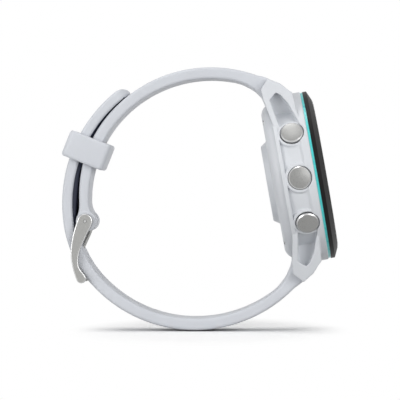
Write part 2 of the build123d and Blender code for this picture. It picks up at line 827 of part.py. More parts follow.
with BuildPart() as buckle_frame:
    with BuildSketch(Plane.XZ.offset(arm_inner)):
        with BuildLine():
            head = ThreePointArc(*(polar(buckle_pin, head_radius, a) for a in (-25, 70, 165)))
            toe = ThreePointArc(*(polar(bar_end, cross_bar_radius, a) for a in (190, 280, 370)))
            outer_bow = Vector(bar_end.X - arm_bow_out, buckle_pin.Y + arm_bow_out_z)
            inner_bow = Vector(bar_end.X + arm_bow_in, buckle_pin.Y + arm_bow_in_z)
            Spline(head @ 1, outer_bow, toe @ 0, tangents=(head % 1, toe % 0))
            Spline(toe @ 1, inner_bow, head @ 0, tangents=(toe % 1, head % 0))
        make_face()
    extrude(amount=arm_thickness)
    with BuildSketch(Plane.XZ):
        with Locations(buckle_pin):
            Circle(arm_bore)
    extrude(amount=arm_outer, mode=Mode.SUBTRACT)
    mirror(about=Plane.XZ)
    with BuildSketch(Plane.XZ):
        with Locations(bar_end):
            Circle(cross_bar_radius)
    extrude(amount=arm_outer - arm_bevel, both=True)
    with BuildSketch(Plane.XZ):
        with Locations(tongue_rest):
            Rectangle(tongue_thickness + 2 * running, 4 * cross_bar_radius)
    extrude(amount=tongue_width / 2 + slip, both=True, mode=Mode.SUBTRACT)
save(buckle_frame, "buckle_frame")

hole_point, hole_along, hole_outward = tail_frame(-hole_run + tongue_shift)
tongue_line = (hole_outward - hole_along * tongue_lean).normalized()
with BuildPart() as buckle_tongue:
    with BuildSketch(Plane.XZ):
        with BuildLine():
            FilletPolyline(
                buckle_pin,
                hole_point - tongue_line * (tail_thickness + tongue_inside),
                hole_point + tongue_line * (tail_thickness + tongue_outside),
                tongue_rest,
                tongue_rest + Vector(-0.1, -tongue_tip),
                radius=tongue_bend,
            )
        trace(line_width=tongue_thickness)
        with Locations(buckle_pin):
            Circle(tongue_eye_radius)
            Circle(pin_radius + running, mode=Mode.SUBTRACT)
    extrude(amount=tongue_width / 2, both=True)
save(buckle_tongue, "buckle_tongue")

# ---- Keeper: rounded block with a slot for both straps ----------------------------------
keeper_inner = clasp_radius - strap_thickness / 2 - keeper_inner_clearance
keeper_outer = clasp_radius + strap_thickness / 2 + keeper_strap_gap + tail_thickness
keeper_outer += keeper_outer_clearance
keeper_middle = (keeper_inner + keeper_outer + keeper_outer_wall - keeper_inner_wall) / 2
keeper_depth = keeper_outer - keeper_inner + keeper_outer_wall + keeper_inner_wall
keeper_slot_half = half_width(polar(clasp_centre, keeper_inner, keeper_angle - keeper_travel_up).X) + slip
with BuildPart() as keeper:
    with BuildSketch(Plane.XZ):
        with Locations(Location(polar(clasp_centre, keeper_middle, keeper_angle), keeper_angle)):
            RectangleRounded(keeper_depth, keeper_length, keeper_fillet)
    extrude(amount=keeper_slot_half + keeper_side_wall, both=True)
    fillet(keeper.edges().filter_by(GeomType.LINE).filter_by(Axis.Y, reverse=True), keeper_edge)
    with BuildSketch(Plane.XZ):
        with Locations(clasp_centre):
            Circle(keeper_outer)
            Circle(keeper_inner, mode=Mode.SUBTRACT)
    extrude(amount=keeper_slot_half, both=True, mode=Mode.SUBTRACT)
save(keeper, "keeper")

# ---- Quick-release spring bars: barrel, fixed pin and sliding release pin ----------------
for name, bar in {"upper": upper_bar, "lower": lower_bar}.items():
    with BuildPart() as tube:
        with BuildSketch(Plane.XZ):
            with Locations(bar):
                Circle(bar_radius)
                Circle(bar_radius - bar_wall, mode=Mode.SUBTRACT)
        extrude(amount=strap_width / 2 - slip, both=True)
        with BuildSketch(knob_plane(bar)):
            with Locations((release_travel / 2, 0)):
                SlotOverall(knob_slot_length, knob_slot_width)
        extrude(amount=bar_radius, mode=Mode.SUBTRACT)
    save(tube, f"{name}_spring_bar_tube")

    with BuildPart() as fixed_pin:
        with BuildSketch(Plane.XZ):
            with Locations(bar):
                Circle(bar_tip_radius)
        extrude(amount=-(lug_gap / 2 + bar_tip_reach - slip))
        with BuildSketch(Plane.XZ):
            with Locations(bar):
                Circle(bar_radius - bar_wall - face_gap)
        extrude(amount=-(strap_width / 2 - slip))
        with BuildSketch(Plane.XZ):
            with Locations(bar):
                Circle(bar_radius)
        extrude(amount=strap_width / 4, mode=Mode.SUBTRACT)
        with BuildSketch(Plane.XZ):
            with Locations(bar):
                Circle(bar_radius)
        extrude(amount=-strap_width / 4, mode=Mode.SUBTRACT)
    save(fixed_pin, f"{name}_spring_bar_pin")

    with BuildPart() as release_pin:
        with BuildSketch(Plane.XZ):
            with Locations(bar):
                Circle(bar_tip_radius)
        extrude(amount=lug_gap / 2 + bar_tip_reach - slip)
        with BuildSketch(Plane.XZ):
            with Locations(bar):
                Circle(bar_radius)
        extrude(amount=-release_y - 2 * release_travel, mode=Mode.SUBTRACT)
        with BuildSketch(knob_plane(bar)):
            Circle(release_knob_radius)
        extrude(amount=release_knob_reach)
    save(release_pin, f"{name}_release_pin")
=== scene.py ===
"""GPS running watch closed on its strap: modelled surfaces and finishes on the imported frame.

The finishes come first, then the studio, the helpers that make and cut grid surfaces, the two
straps with their keeper and buckle, the buttons and case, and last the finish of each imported
node. Lengths are in millimetres, in the frame's own axes: x out of the wrist, z towards
12 o'clock and y towards 3 o'clock. "Side view" means the plane of x and z, "across" means y.
"""
from __future__ import annotations

import json
import logging
from collections.abc import Callable
from dataclasses import dataclass, field
from enum import Enum

import bmesh
import bpy
import numpy as np
from mathutils import Matrix, Vector
from numpy.typing import NDArray


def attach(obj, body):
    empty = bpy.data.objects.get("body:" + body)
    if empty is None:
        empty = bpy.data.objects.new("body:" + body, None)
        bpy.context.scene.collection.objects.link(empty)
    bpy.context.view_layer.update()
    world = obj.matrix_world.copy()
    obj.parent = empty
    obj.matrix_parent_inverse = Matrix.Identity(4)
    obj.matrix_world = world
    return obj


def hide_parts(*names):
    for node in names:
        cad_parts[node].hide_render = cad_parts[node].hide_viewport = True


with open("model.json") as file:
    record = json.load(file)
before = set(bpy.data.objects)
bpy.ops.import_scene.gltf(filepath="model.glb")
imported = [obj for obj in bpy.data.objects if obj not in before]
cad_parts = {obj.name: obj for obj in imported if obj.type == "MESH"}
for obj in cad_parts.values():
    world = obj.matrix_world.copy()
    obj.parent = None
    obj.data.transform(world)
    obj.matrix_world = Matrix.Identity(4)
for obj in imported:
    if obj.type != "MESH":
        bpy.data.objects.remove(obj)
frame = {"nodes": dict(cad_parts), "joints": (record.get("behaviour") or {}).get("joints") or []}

MM = 0.001
OUT_OF_WRIST = np.array((1.0, 0.0, 0.0))
ACROSS = np.array((0.0, 1.0, 0.0))
log = logging.getLogger("watch")
Colour = tuple[float, float, float]
Material = bpy.types.Material
Piece = bpy.types.Object
Socket = bpy.types.NodeSocket


# ---- Finishes ---------------------------------------------------------------------------
class NodeTree:
    """Short calls for building one material's node tree."""

    def __init__(self, name: str) -> None:
        """Start an empty node tree with an output and one Principled shader.

        Args:
            name: Name of the new material.
        """
        self.material = bpy.data.materials.new(name)
        self.material.use_nodes = True
        self.tree = self.material.node_tree
        self.tree.nodes.clear()
        self.output = self.tree.nodes.new("ShaderNodeOutputMaterial")
        self.shader = self.tree.nodes.new("ShaderNodeBsdfPrincipled")
        self.link(self.shader.outputs["BSDF"], self.output.inputs["Surface"])
        self.place = self.tree.nodes.new("ShaderNodeTexCoord").outputs["Object"]

    def link(self, source: Socket, target: Socket) -> None:
        """Join an output socket to an input socket."""
        self.tree.links.new(source, target)

    def set(self, **values: float | Colour) -> None:
        """Write constants straight on the shader's sockets.

        Args:
            values: Socket names with underscores for spaces, and their values.
        """
        for name, value in values.items():
            socket = self.shader.inputs[name.replace("_", " ")]
            socket.default_value = (*value, 1.0) if isinstance(value, tuple) else value

    def stretch(self, scale: Colour) -> Socket:
        """Scale the object coordinates by a factor along each axis."""
        mapping = self.tree.nodes.new("ShaderNodeMapping")
        mapping.inputs["Scale"].default_value = scale
        self.link(self.place, mapping.inputs["Vector"])
        return mapping.outputs["Vector"]

    def noise(
        self, scale: float, detail: float = 4.0, place: Socket | None = None
    ) -> Socket:
        """Fractal noise in object space.

        Args:
            scale: Cells per metre.
            detail: Octaves.
            place: Coordinates to use instead of the plain object coordinates.

        Returns:
            The noise value, about 0.5 on average.
        """
        texture = self.tree.nodes.new("ShaderNodeTexNoise")
        texture.inputs["Scale"].default_value = scale
        texture.inputs["Detail"].default_value = detail
        self.link(place or self.place, texture.inputs["Vector"])
        return texture.outputs["Fac"]

    def span(self, value: Socket, low: float, high: float) -> Socket:
        """Map a noise value's usual range of 0.3 to 0.7 to low to high.

        Args:
            value: Noise value.
            low: Result at 0.3 and below.
            high: Result at 0.7 and above.

        Returns:
            The mapped value.
        """
        remap = self.tree.nodes.new("ShaderNodeMapRange")
        remap.inputs["From Min"].default_value = 0.3
        remap.inputs["From Max"].default_value = 0.7
        remap.inputs["To Min"].default_value = low
        remap.inputs["To Max"].default_value = high
        self.link(value, remap.inputs["Value"])
        return remap.outputs["Result"]

    def mix(self, value: Socket, low: Colour, high: Colour) -> Socket:
        """Blend two colours by a value."""
        blend = self.tree.nodes.new("ShaderNodeMix")
        blend.data_type = "RGBA"
        self.link(value, blend.inputs["Factor"])
        blend.inputs["A"].default_value = (*low, 1.0)
        blend.inputs["B"].default_value = (*high, 1.0)
        return blend.outputs["Result"]

    def vary(
        self, value: Socket, colour: Colour, mottle: float, roughness: float,
        spread: float, fine: Socket | None = None,
    ) -> None:
        """Let a noise value vary the shader's colour and roughness.

        Args:
            value: Noise value for the colour.
            colour: Middle colour.
            mottle: Share of the colour that is taken away or added.
            roughness: Middle roughness.
            spread: Roughness that is taken away or added.
            fine: Noise value for the roughness, if it is another one.
        """
        low = tuple(c * (1 - mottle) for c in colour)
        high = tuple(min(1.0, c * (1 + mottle)) for c in colour)
        self.link(self.mix(self.span(value, 0, 1), low, high), self.shader.inputs["Base Color"])
        rough = self.span(fine or value, roughness - spread, roughness + spread)
        self.link(rough, self.shader.inputs["Roughness"])

    def bump(self, height: Socket, depth: float) -> None:
        """Tilt the shader's normal by a height.

        Args:
            height: Height value from 0 to 1.
            depth: Depth in metres that a height of 1 stands for.
        """
        node = self.tree.nodes.new("ShaderNodeBump")
        node.inputs["Distance"].default_value = depth
        node.inputs["Strength"].default_value = 1.0
        self.link(height, node.inputs["Height"])
        self.link(node.outputs["Normal"], self.shader.inputs["Normal"])


@dataclass(frozen=True)
class SoftPolymer:
    """Matt moulded polymer or silicone with faint mottling and a fine pebbled skin."""

    name: str
    colour: Colour
    roughness: float = 0.5
    mottle: float = 0.02
    grain: float = 0.004 * MM
    sheen: float = 0.0
    gloss: float = 0.4

    def material(self) -> Material:
        """Build the node material."""
        nodes = NodeTree(self.name)
        fine = nodes.noise(5200.0, 2.0)
        nodes.vary(nodes.noise(160.0, 3.0), self.colour, self.mottle, self.roughness, 0.04, fine)
        nodes.set(Specular_IOR_Level=self.gloss, Sheen_Weight=self.sheen, Sheen_Roughness=0.5)
        nodes.bump(fine, self.grain)
        return nodes.material


@dataclass(frozen=True)
class SatinMetal:
    """Metal with fine brush lines along one direction."""

    name: str
    colour: Colour
    roughness: float = 0.3
    lines: Colour = (900.0, 900.0, 900.0)
    groove: float = 0.002 * MM

    def material(self) -> Material:
        """Build the node material."""
        nodes = NodeTree(self.name)
        streaks = nodes.noise(1.0, 6.0, nodes.stretch(self.lines))
        nodes.vary(streaks, self.colour, 0.03, self.roughness, 0.04)
        nodes.set(Metallic=1.0)
        nodes.bump(streaks, self.groove)
        return nodes.material


FINE_LINES = (9000.0, 9000.0, 900.0)
FINE_GROOVE = 0.0004 * MM


@dataclass(frozen=True)
class GlossyCoat:
    """Lacquered, glassy or satin plastic surface with a faint orange peel."""

    name: str
    colour: Colour
    roughness: float = 0.15
    coat: float = 0.0
    peel: float = 0.002 * MM

    def material(self) -> Material:
        """Build the node material."""
        nodes = NodeTree(self.name)
        wave = nodes.noise(700.0, 2.0)
        nodes.vary(wave, self.colour, 0.06, self.roughness, self.roughness * 0.15)
        nodes.set(Coat_Weight=self.coat, Coat_Roughness=0.08)
        nodes.bump(wave, self.peel)
        return nodes.material


@dataclass(frozen=True)
class ClearGlass:
    """Clear cover glass."""

    name: str
    tint: Colour
    roughness: float = 0.03

    def material(self) -> Material:
        """Build the node material."""
        nodes = NodeTree(self.name)
        smear = nodes.noise(90.0, 3.0)
        nodes.link(
            nodes.span(smear, self.roughness * 0.7, self.roughness * 1.5),
            nodes.shader.inputs["Roughness"],
        )
        nodes.set(Base_Color=self.tint, Transmission_Weight=1.0, IOR=1.5)
        return nodes.material


# ---- Studio -----------------------------------------------------------------------------
def seen_directly(tree: bpy.types.NodeTree) -> Socket:
    """Make a value that is 1 for camera, glossy and transmitted rays, and 0 for the rest.

    Args:
        tree: Node tree to add the nodes to.

    Returns:
        The value's socket.
    """
    path = tree.nodes.new("ShaderNodeLightPath")
    total = path.outputs["Is Camera Ray"]
    for name in ("Is Glossy Ray", "Is Transmission Ray"):
        larger = tree.nodes.new("ShaderNodeMath")
        larger.operation = "MAXIMUM"
        tree.links.new(total, larger.inputs[0])
        tree.links.new(path.outputs[name], larger.inputs[1])
        total = larger.outputs["Value"]
    return total


def mix_shaders(tree: bpy.types.NodeTree, share: Socket, low: Socket, high: Socket) -> Socket:
    """Blend two shaders: the low one at a share of 0, the high one at 1."""
    blend = tree.nodes.new("ShaderNodeMixShader")
    for source, target in zip((share, low, high), blend.inputs):
        tree.links.new(source, target)
    return blend.outputs["Shader"]


@dataclass
class Studio:
    """Camera, floor and lamps about the watch, in millimetres and watts.

    Each lamp has a name, a place, a side length and a power. The floor's near and far are the
    distances between which it goes from shaded to plain white.
    """

    eye: Colour = (1.7, -800.0, -1.87)
    aim: Colour = (-17.1, 0.0, -1.1)
    upward: Colour = (0.1726, 0.0, 0.985)
    lens: float = 290.0
    sensor: float = 36.0
    floor_touch: Colour = (-20.8, 0.0, -33.25)
    floor_size: float = 4000.0
    floor_paint: float = 1.2
    floor_bounce: float = 0.55
    floor_near: float = 18.0
    floor_far: float = 36.0
    world_level: float = 0.32
    lamps: tuple[tuple[str, Colour, float, float], ...] = (
        ("left_lamp", (-620.0, -620.0, 260.0), 500.0, 4.0),
        ("right_lamp", (540.0, -700.0, 120.0), 500.0, 3.3),
        ("top_lamp", (-40.0, 0.0, 800.0), 300.0, 1.5),
        ("high_lamp", (40.0, -370.0, 790.0), 260.0, 0.33),
        ("side_lamp", (165.0, -780.0, 120.0), 160.0, 0.22),
    )

    def camera(self) -> Piece:
        """Place the camera at the side of the watch."""
        data = bpy.data.cameras.new("side_camera")
        data.lens = self.lens
        data.sensor_width = self.sensor
        data.clip_end = 50.0
        back = (Vector(self.eye) - Vector(self.aim)).normalized()
        right = Vector(self.upward).cross(back).normalized()
        turn = Matrix((right, back.cross(right), back)).transposed().to_4x4()
        camera = bpy.data.objects.new("side_camera", data)
        camera.matrix_world = Matrix.Translation(Vector(self.eye) * MM) @ turn
        bpy.context.scene.collection.objects.link(camera)
        bpy.context.scene.camera = camera
        return camera

    def floor(self) -> Piece:
        """Lay a white floor under the strap that keeps the watch's soft shadow."""
        normal = Vector(self.upward).normalized()
        along = Vector((normal.z, 0.0, -normal.x))
        half = self.floor_size / 2
        centre = Vector(self.floor_touch)
        corners = [
            centre + along * (half * a) + Vector((0.0, half * b, 0.0))
            for a, b in ((-1, -1), (1, -1), (1, 1), (-1, 1))
        ]
        mesh = bpy.data.meshes.new("floor")
        mesh.from_pydata([tuple(c * MM) for c in corners], [], [(0, 1, 2, 3)])
        floor = bpy.data.objects.new("floor", mesh)
        bpy.context.scene.collection.objects.link(floor)
        floor.data.materials.append(self.floor_finish())
        return floor

    def floor_finish(self) -> Material:
        """Build the floor's material: shaded matt near the watch, and plain white further out.

        What looks straight at the floor, or sees it in glass or metal, sees a paler white
        than what the floor throws back at the watch.
        """
        nodes = NodeTree("studio_floor")
        tree = nodes.tree
        nodes.set(Base_Color=(self.floor_bounce,) * 3, Roughness=1.0, Specular_IOR_Level=0.0)
        white = tree.nodes.new("ShaderNodeEmission")
        near = tree.nodes.new("ShaderNodeBsdfDiffuse")
        near.inputs["Color"].default_value = (*(self.floor_paint,) * 3, 1.0)
        reach = tree.nodes.new("ShaderNodeVectorMath")
        reach.operation = "DISTANCE"
        reach.inputs[1].default_value = tuple(c * MM for c in self.floor_touch)
        nodes.link(nodes.stretch((1.0, 0.4, 1.0)), reach.inputs[0])
        fade = tree.nodes.new("ShaderNodeMapRange")
        fade.interpolation_type = "SMOOTHSTEP"
        fade.inputs["From Min"].default_value = self.floor_near * MM
        fade.inputs["From Max"].default_value = self.floor_far * MM
        nodes.link(reach.outputs["Value"], fade.inputs["Value"])
        seen = mix_shaders(
            tree, fade.outputs["Result"], near.outputs["BSDF"], white.outputs["Emission"]
        )
        floor = mix_shaders(tree, seen_directly(tree), nodes.shader.outputs["BSDF"], seen)
        nodes.link(floor, nodes.output.inputs["Surface"])
        return nodes.material

    def lamp(self, name: str, place: Colour, size: float, power: float) -> Piece:
        """Hang one square soft lamp that faces the middle of the watch.

        Args:
            name: Name of the lamp.
            place: Position in millimetres.
            size: Side in millimetres.
            power: Watts.
        """
        data = bpy.data.lights.new(name, "AREA")
        data.size = size * MM
        data.energy = power
        lamp = bpy.data.objects.new(name, data)
        back = (Vector(place) - Vector(self.aim)).normalized()
        turn = back.to_track_quat("Z", "Y").to_matrix().to_4x4()
        lamp.matrix_world = Matrix.Translation(Vector(place) * MM) @ turn
        bpy.context.scene.collection.objects.link(lamp)
        return lamp

    def world(self) -> None:
        """Set an even pale surrounding light with a white view behind the watch."""
        world = bpy.data.worlds.new("studio_world")
        bpy.context.scene.world = world
        world.use_nodes = True
        tree = world.node_tree
        shade, white = tree.nodes["Background"], tree.nodes.new("ShaderNodeBackground")
        for node, strength in ((shade, self.world_level), (white, 1.0)):
            node.inputs["Color"].default_value = (1.0, 1.0, 1.0, 1.0)
            node.inputs["Strength"].default_value = strength
        around, behind = shade.outputs["Background"], white.outputs["Background"]
        both = mix_shaders(tree, seen_directly(tree), around, behind)
        tree.links.new(both, tree.nodes["World Output"].inputs["Surface"])

    def build(self) -> None:
        """Set up the view settings, camera, floor, lamps and world."""
        bpy.context.scene.view_settings.view_transform = "Standard"
        self.camera()
        self.floor()
        self.world()
        for name, place, size, power in self.lamps:
            self.lamp(name, place, size, power)


# ---- Surfaces ---------------------------------------------------------------------------
def weld(name: str, mesh: bpy.types.Mesh, crease: float = 38.0) -> Piece:
    """Merge a mesh's shared points, turn its faces outward and put it in the scene.

    Args:
        name: Name of the finished object.
        mesh: Mesh in metres.
        crease: Angle in degrees past which an edge stays sharp.

    Returns:
        The object, at the origin.
    """
    shape = bmesh.new()
    shape.from_mesh(mesh)
    bmesh.ops.remove_doubles(shape, verts=shape.verts, dist=2e-7)
    bmesh.ops.dissolve_degenerate(shape, edges=shape.edges, dist=1e-8)
    bmesh.ops.recalc_face_normals(shape, faces=shape.faces)
    shape.to_mesh(mesh)
    shape.free()
    mesh.shade_smooth()
    mesh.set_sharp_from_angle(angle=np.radians(crease))
    piece = bpy.data.objects.new(name, mesh)
    bpy.context.scene.collection.objects.link(piece)
    return piece


@dataclass
class Shell:
    """Grid patches in millimetres that are joined into one closed piece."""

    name: str
    points: list[NDArray] = field(default_factory=list)
    faces: list[NDArray] = field(default_factory=list)
    slots: list[NDArray] = field(default_factory=list)
    count: int = 0

    def patch(self, grid: NDArray, slot: int = 0, wrap: bool = False) -> "Shell":
        """Add one grid of points as four-sided faces.

        Args:
            grid: Points of shape (rows, columns, 3).
            slot: Material slot of its faces.
            wrap: Whether the last column joins the first.

        Returns:
            The shell itself.
        """
        rows, columns = grid.shape[:2]
        index = np.arange(rows * columns).reshape(rows, columns) + self.count
        if wrap:
            index = np.concatenate((index, index[:, :1]), axis=1)
        quads = np.stack((index[:-1, :-1], index[1:, :-1], index[1:, 1:], index[:-1, 1:]), axis=-1)
        self.points.append(grid.reshape(-1, 3))
        self.faces.append(quads.reshape(-1, 4))
        self.slots.append(np.full(len(self.faces[-1]), slot, dtype=np.int32))
        self.count += rows * columns
        return self

    def build(self, materials: list[Material], crease: float = 38.0) -> Piece:
        """Write the patches into a mesh object with its materials.

        Args:
            materials: One material for each slot.
            crease: Angle in degrees past which an edge stays sharp.

        Returns:
            The finished object.
        """
        points = np.concatenate(self.points).astype(np.float32) * MM
        faces = np.concatenate(self.faces).astype(np.int32)
        mesh = bpy.data.meshes.new(self.name)
        mesh.vertices.add(len(points))
        mesh.vertices.foreach_set("co", points.ravel())
        mesh.loops.add(faces.size)
        mesh.loops.foreach_set("vertex_index", faces.ravel())
        mesh.polygons.add(len(faces))
        mesh.polygons.foreach_set("loop_start", np.arange(0, faces.size, 4, dtype=np.int32))
        mesh.polygons.foreach_set("material_index", np.concatenate(self.slots))
        for material in materials:
            mesh.materials.append(material)
        mesh.update(calc_edges=True)
        return weld(self.name, mesh, crease)


def fillet_corners(corners: list[tuple[float, float]], radii: list[float], steps: int = 6) -> NDArray:
    """Round the inner corners of an open outline.

    Each corner gives way to an arc that touches both of its sides: the arc's centre stands on
    the bisector at radius / sin(half angle), and it spans pi less the corner's angle.

    Args:
        corners: Points of the outline; its two ends stay where they are.
        radii: Radius at each point, with the ends' left unused.
        steps: Points on each arc.

    Returns:
        Points of shape (n, 2).
    """
    at = np.asarray(corners, float)
    before, after = at[:-2] - at[1:-1], at[2:] - at[1:-1]
    before /= np.linalg.norm(before, axis=1, keepdims=True)
    after /= np.linalg.norm(after, axis=1, keepdims=True)
    half = np.arccos(np.clip((before * after).sum(1), -1, 1)) / 2
    radius = np.asarray(radii, float)[1:-1]
    bisector = before + after
    bisector /= np.maximum(np.linalg.norm(bisector, axis=1, keepdims=True), 1e-12)
    centre = at[1:-1] + bisector * (radius / np.sin(half))[:, None]
    side = before - bisector * (before * bisector).sum(1)[:, None]
    side /= np.linalg.norm(side, axis=1, keepdims=True)
    sweep = (np.pi / 2 - half)[:, None] * np.linspace(1, -1, steps)[None]
    arcs = centre[:, None] + radius[:, None, None] * (
        side[:, None] * np.sin(sweep)[..., None] - bisector[:, None] * np.cos(sweep)[..., None]
    )
    return np.concatenate((at[:1], arcs.reshape(-1, 2), at[-1:]))


def band_profile(low: float, high: float, inner: float, outer: float, radius: float) -> NDArray:
    """Closed profile of a ring for turning, with its two outer edges rounded.

    Args:
        low: Lowest place along the axis.
        high: Highest place along the axis.
        inner: Inner radius of the ring.
        outer: Outer radius of the ring.
        radius: Radius of the two outer edges.

    Returns:
        Heights and radii, of shape (n, 2).
    """
    corners = [(low, inner), (low, outer), (high, outer), (high, inner), (low, inner)]
    return fillet_corners(corners, [0, radius, radius, 0, 0])


def lathe(profile: NDArray, origin: NDArray, axis: NDArray, steps: int = 96) -> NDArray:
    """Turn a profile about an axis: point = origin + axis * height + ring direction * radius.

    Args:
        profile: Heights along the axis and radii, of shape (n, 2).
        origin: Point on the axis.
        axis: Direction of the axis, of unit length.
        steps: Points round the axis.

    Returns:
        Points of shape (n, steps, 3), whose last column joins the first.
    """
    first = np.cross(axis, (0.0, 0.0, 1.0) if abs(axis[2]) < 0.9 else (1.0, 0.0, 0.0))
    first /= np.linalg.norm(first)
    second = np.cross(axis, first)
    turn = np.linspace(0, 2 * np.pi, steps, endpoint=False)
    ring = np.cos(turn)[:, None] * first + np.sin(turn)[:, None] * second
    return origin + profile[:, :1, None] * axis + profile[:, 1:, None] * ring[None]


def upright(flat: NDArray, across: NDArray | float = 0.0) -> NDArray:
    """Stand points of the side view, of shape (..., 2), in space at a place across."""
    return np.stack((flat[..., 0], across + 0 * flat[..., 0], flat[..., 1]), -1)


def polar(centre: NDArray, radius: float, angle: float) -> NDArray:
    """Point at a radius and an angle in degrees about a centre in the XZ plane."""
    return centre + radius * np.array((np.cos(np.radians(angle)), np.sin(np.radians(angle))))


@dataclass
class ArcPath:
    """Chain of arcs in the XZ plane, each tangent to the one before.

    At a distance d along an arc of curvature k and first heading h, the heading is h + k d and
    the point is start + (sin(h + k d) - sin h, cos h - cos(h + k d)) / k.
    """

    start: NDArray
    heading: float
    arcs: list[tuple[NDArray, float, float, float]] = field(default_factory=list)
    length: float = 0.0

    def turn(self, radius: float, sweep: float) -> "ArcPath":
        """Add an arc.

        Args:
            radius: Radius in millimetres.
            sweep: Turn in radians, positive to the left.

        Returns:
            The path itself.
        """
        curve, run = np.sign(sweep) / radius, radius * abs(sweep)
        self.arcs.append((self.start, self.heading, curve, run))
        turned = self.heading + curve * run
        shift = np.array((np.sin(turned) - np.sin(self.heading), np.cos(self.heading) - np.cos(turned)))
        self.start, self.heading, self.length = self.start + shift / curve, turned, self.length + run
        return self

    def reach(self, point: NDArray, share: float = 1.0) -> "ArcPath":
        """Add the tangent arc towards a point, or the first share of it."""
        chord = point - self.start
        bend = np.arctan2(chord[1], chord[0]) - self.heading
        bend = (bend + np.pi) % (2 * np.pi) - np.pi
        return self.turn(np.hypot(*chord) / 2 / abs(np.sin(bend)), 2 * bend * share)

    def frames(self, run: NDArray) -> tuple[NDArray, NDArray]:
        """Points and left-hand normals at distances along the path.

        Args:
            run: Distances from the start; those past an end follow its arc further.

        Returns:
            Points and normals, each of the shape of run with a last axis of 2.
        """
        point = np.zeros(run.shape + (2,))
        angle = np.zeros(run.shape)
        passed = 0.0
        for number, (start, heading, curve, length) in enumerate(self.arcs):
            past = run >= (passed if number else -np.inf)
            turned = heading + curve * (run - passed)
            x = start[0] + (np.sin(turned) - np.sin(heading)) / curve
            z = start[1] + (np.cos(heading) - np.cos(turned)) / curve
            point = np.where(past[..., None], np.stack((x, z), -1), point)
            angle = np.where(past, turned, angle)
            passed += length
        return point, np.stack((-np.sin(angle), np.cos(angle)), -1)


def on_path(path: ArcPath, run: NDArray, across: NDArray, lift: NDArray) -> NDArray:
    """Points over a path: its point at run, moved by lift to the path's right, at width across."""
    run, across, lift = np.broadcast_arrays(run, across, lift)
    point, left = path.frames(run)
    return upright(point - left * lift[..., None], across)


def smooth_step(value: NDArray) -> NDArray:
    """Ease from 0 to 1: 3 v^2 - 2 v^3, held outside that range."""
    held = np.clip(value, 0, 1)
    return held * held * (3 - 2 * held)


def round_step(value: NDArray) -> NDArray:
    """Rise from 0 to 1 as a quarter circle, sqrt(1 - (1 - v)^2), held outside that range."""
    return np.sqrt(np.clip(1 - np.clip(1 - value, 0, 1) ** 2, 0, 1))


def carve(piece: Piece, cutters: list[Piece]) -> Piece:
    """Cut other closed meshes out of a piece and delete them.

    Args:
        piece: Piece that is cut.
        cutters: Meshes that are taken away from it.

    Returns:
        The piece with its new mesh.
    """
    for cutter in cutters:
        step = piece.modifiers.new("cut", "BOOLEAN")
        step.operation = "DIFFERENCE"
        step.solver = "EXACT"
        step.object = cutter
    bpy.context.view_layer.update()
    cut = bpy.data.meshes.new_from_object(piece.evaluated_get(bpy.context.evaluated_depsgraph_get()))
    piece.modifiers.clear()
    piece.data = cut
    cut.shade_smooth()
    cut.set_sharp_from_angle(angle=np.radians(38.0))
    for cutter in cutters:
        bpy.data.objects.remove(cutter)
    return piece


def slab(name: str, outline: NDArray, low: float, high: float) -> Piece:
    """Closed side-view outline carried straight across from one width to another.

    Args:
        name: Name of the solid.
        outline: Corners in the side view, of shape (n, 2), without a repeated last one.
        low: Lowest place across.
        high: Highest place across.

    Returns:
        The solid, for use as a cutter.
    """
    middle = 0 * outline + outline.mean(axis=0)
    faces = ((middle, low), (outline, low), (outline, high), (middle, high))
    return Shell(name).patch(np.stack([upright(*face) for face in faces]), wrap=True).build([])


def sweep(name: str, line: NDArray, section: NDArray, scale: NDArray) -> "Shell":
    """Section carried along a line in the side view, with both ends drawn in to a point.

    Each row is the section times its scale, set across the line's tangent.

    Args:
        name: Name of the piece.
        line: Points of the line, of shape (n, 2).
        section: Closed ring of places across and off the line, of shape (m, 2).
        scale: Size of the section at each point of the line.

    Returns:
        A shell with one patch.
    """
    along = np.gradient(line, axis=0)
    along /= np.linalg.norm(along, axis=1, keepdims=True)
    off = np.stack((-along[:, 1], along[:, 0]), -1)
    lift = section[None, :, 1, None] * scale[:, None, None] * off[:, None]
    flat = line[:, None] + lift
    grid = upright(flat, section[None, :, 0] * scale[:, None])
    ends = [np.broadcast_to(row.mean(axis=0), row.shape)[None] for row in (grid[0], grid[-1])]
    return Shell(name).patch(np.concatenate((ends[0], grid, ends[1])), wrap=True)


def rounded_ring(half_across: float, half_lift: float, radius: float, steps: int = 6) -> NDArray:
    """Closed ring of a rectangle with quarter circles at its corners, of shape (n, 2)."""
    turn = np.radians(np.linspace(0, 90, steps))[None] + np.radians((0, 90, 180, 270))[:, None]
    sign = np.array(((1, 1), (-1, 1), (-1, -1), (1, -1)), dtype=float)
    centre = sign * (half_across - radius, half_lift - radius)
    ring = centre[:, None] + radius * np.stack((np.cos(turn), np.sin(turn)), -1)
    return ring.reshape(-1, 2)


def rod(name: str, start: NDArray, end: NDArray, radius: float, steps: int = 32) -> Piece:
    """Closed round rod between two points in millimetres, as a cutter."""
    axis = end - start
    length = np.linalg.norm(axis)
    profile = np.array(((0, 0), (0, radius), (length, radius), (length, 0)), float)
    return Shell(name).patch(lathe(profile, start, axis / length, steps), wrap=True).build([])


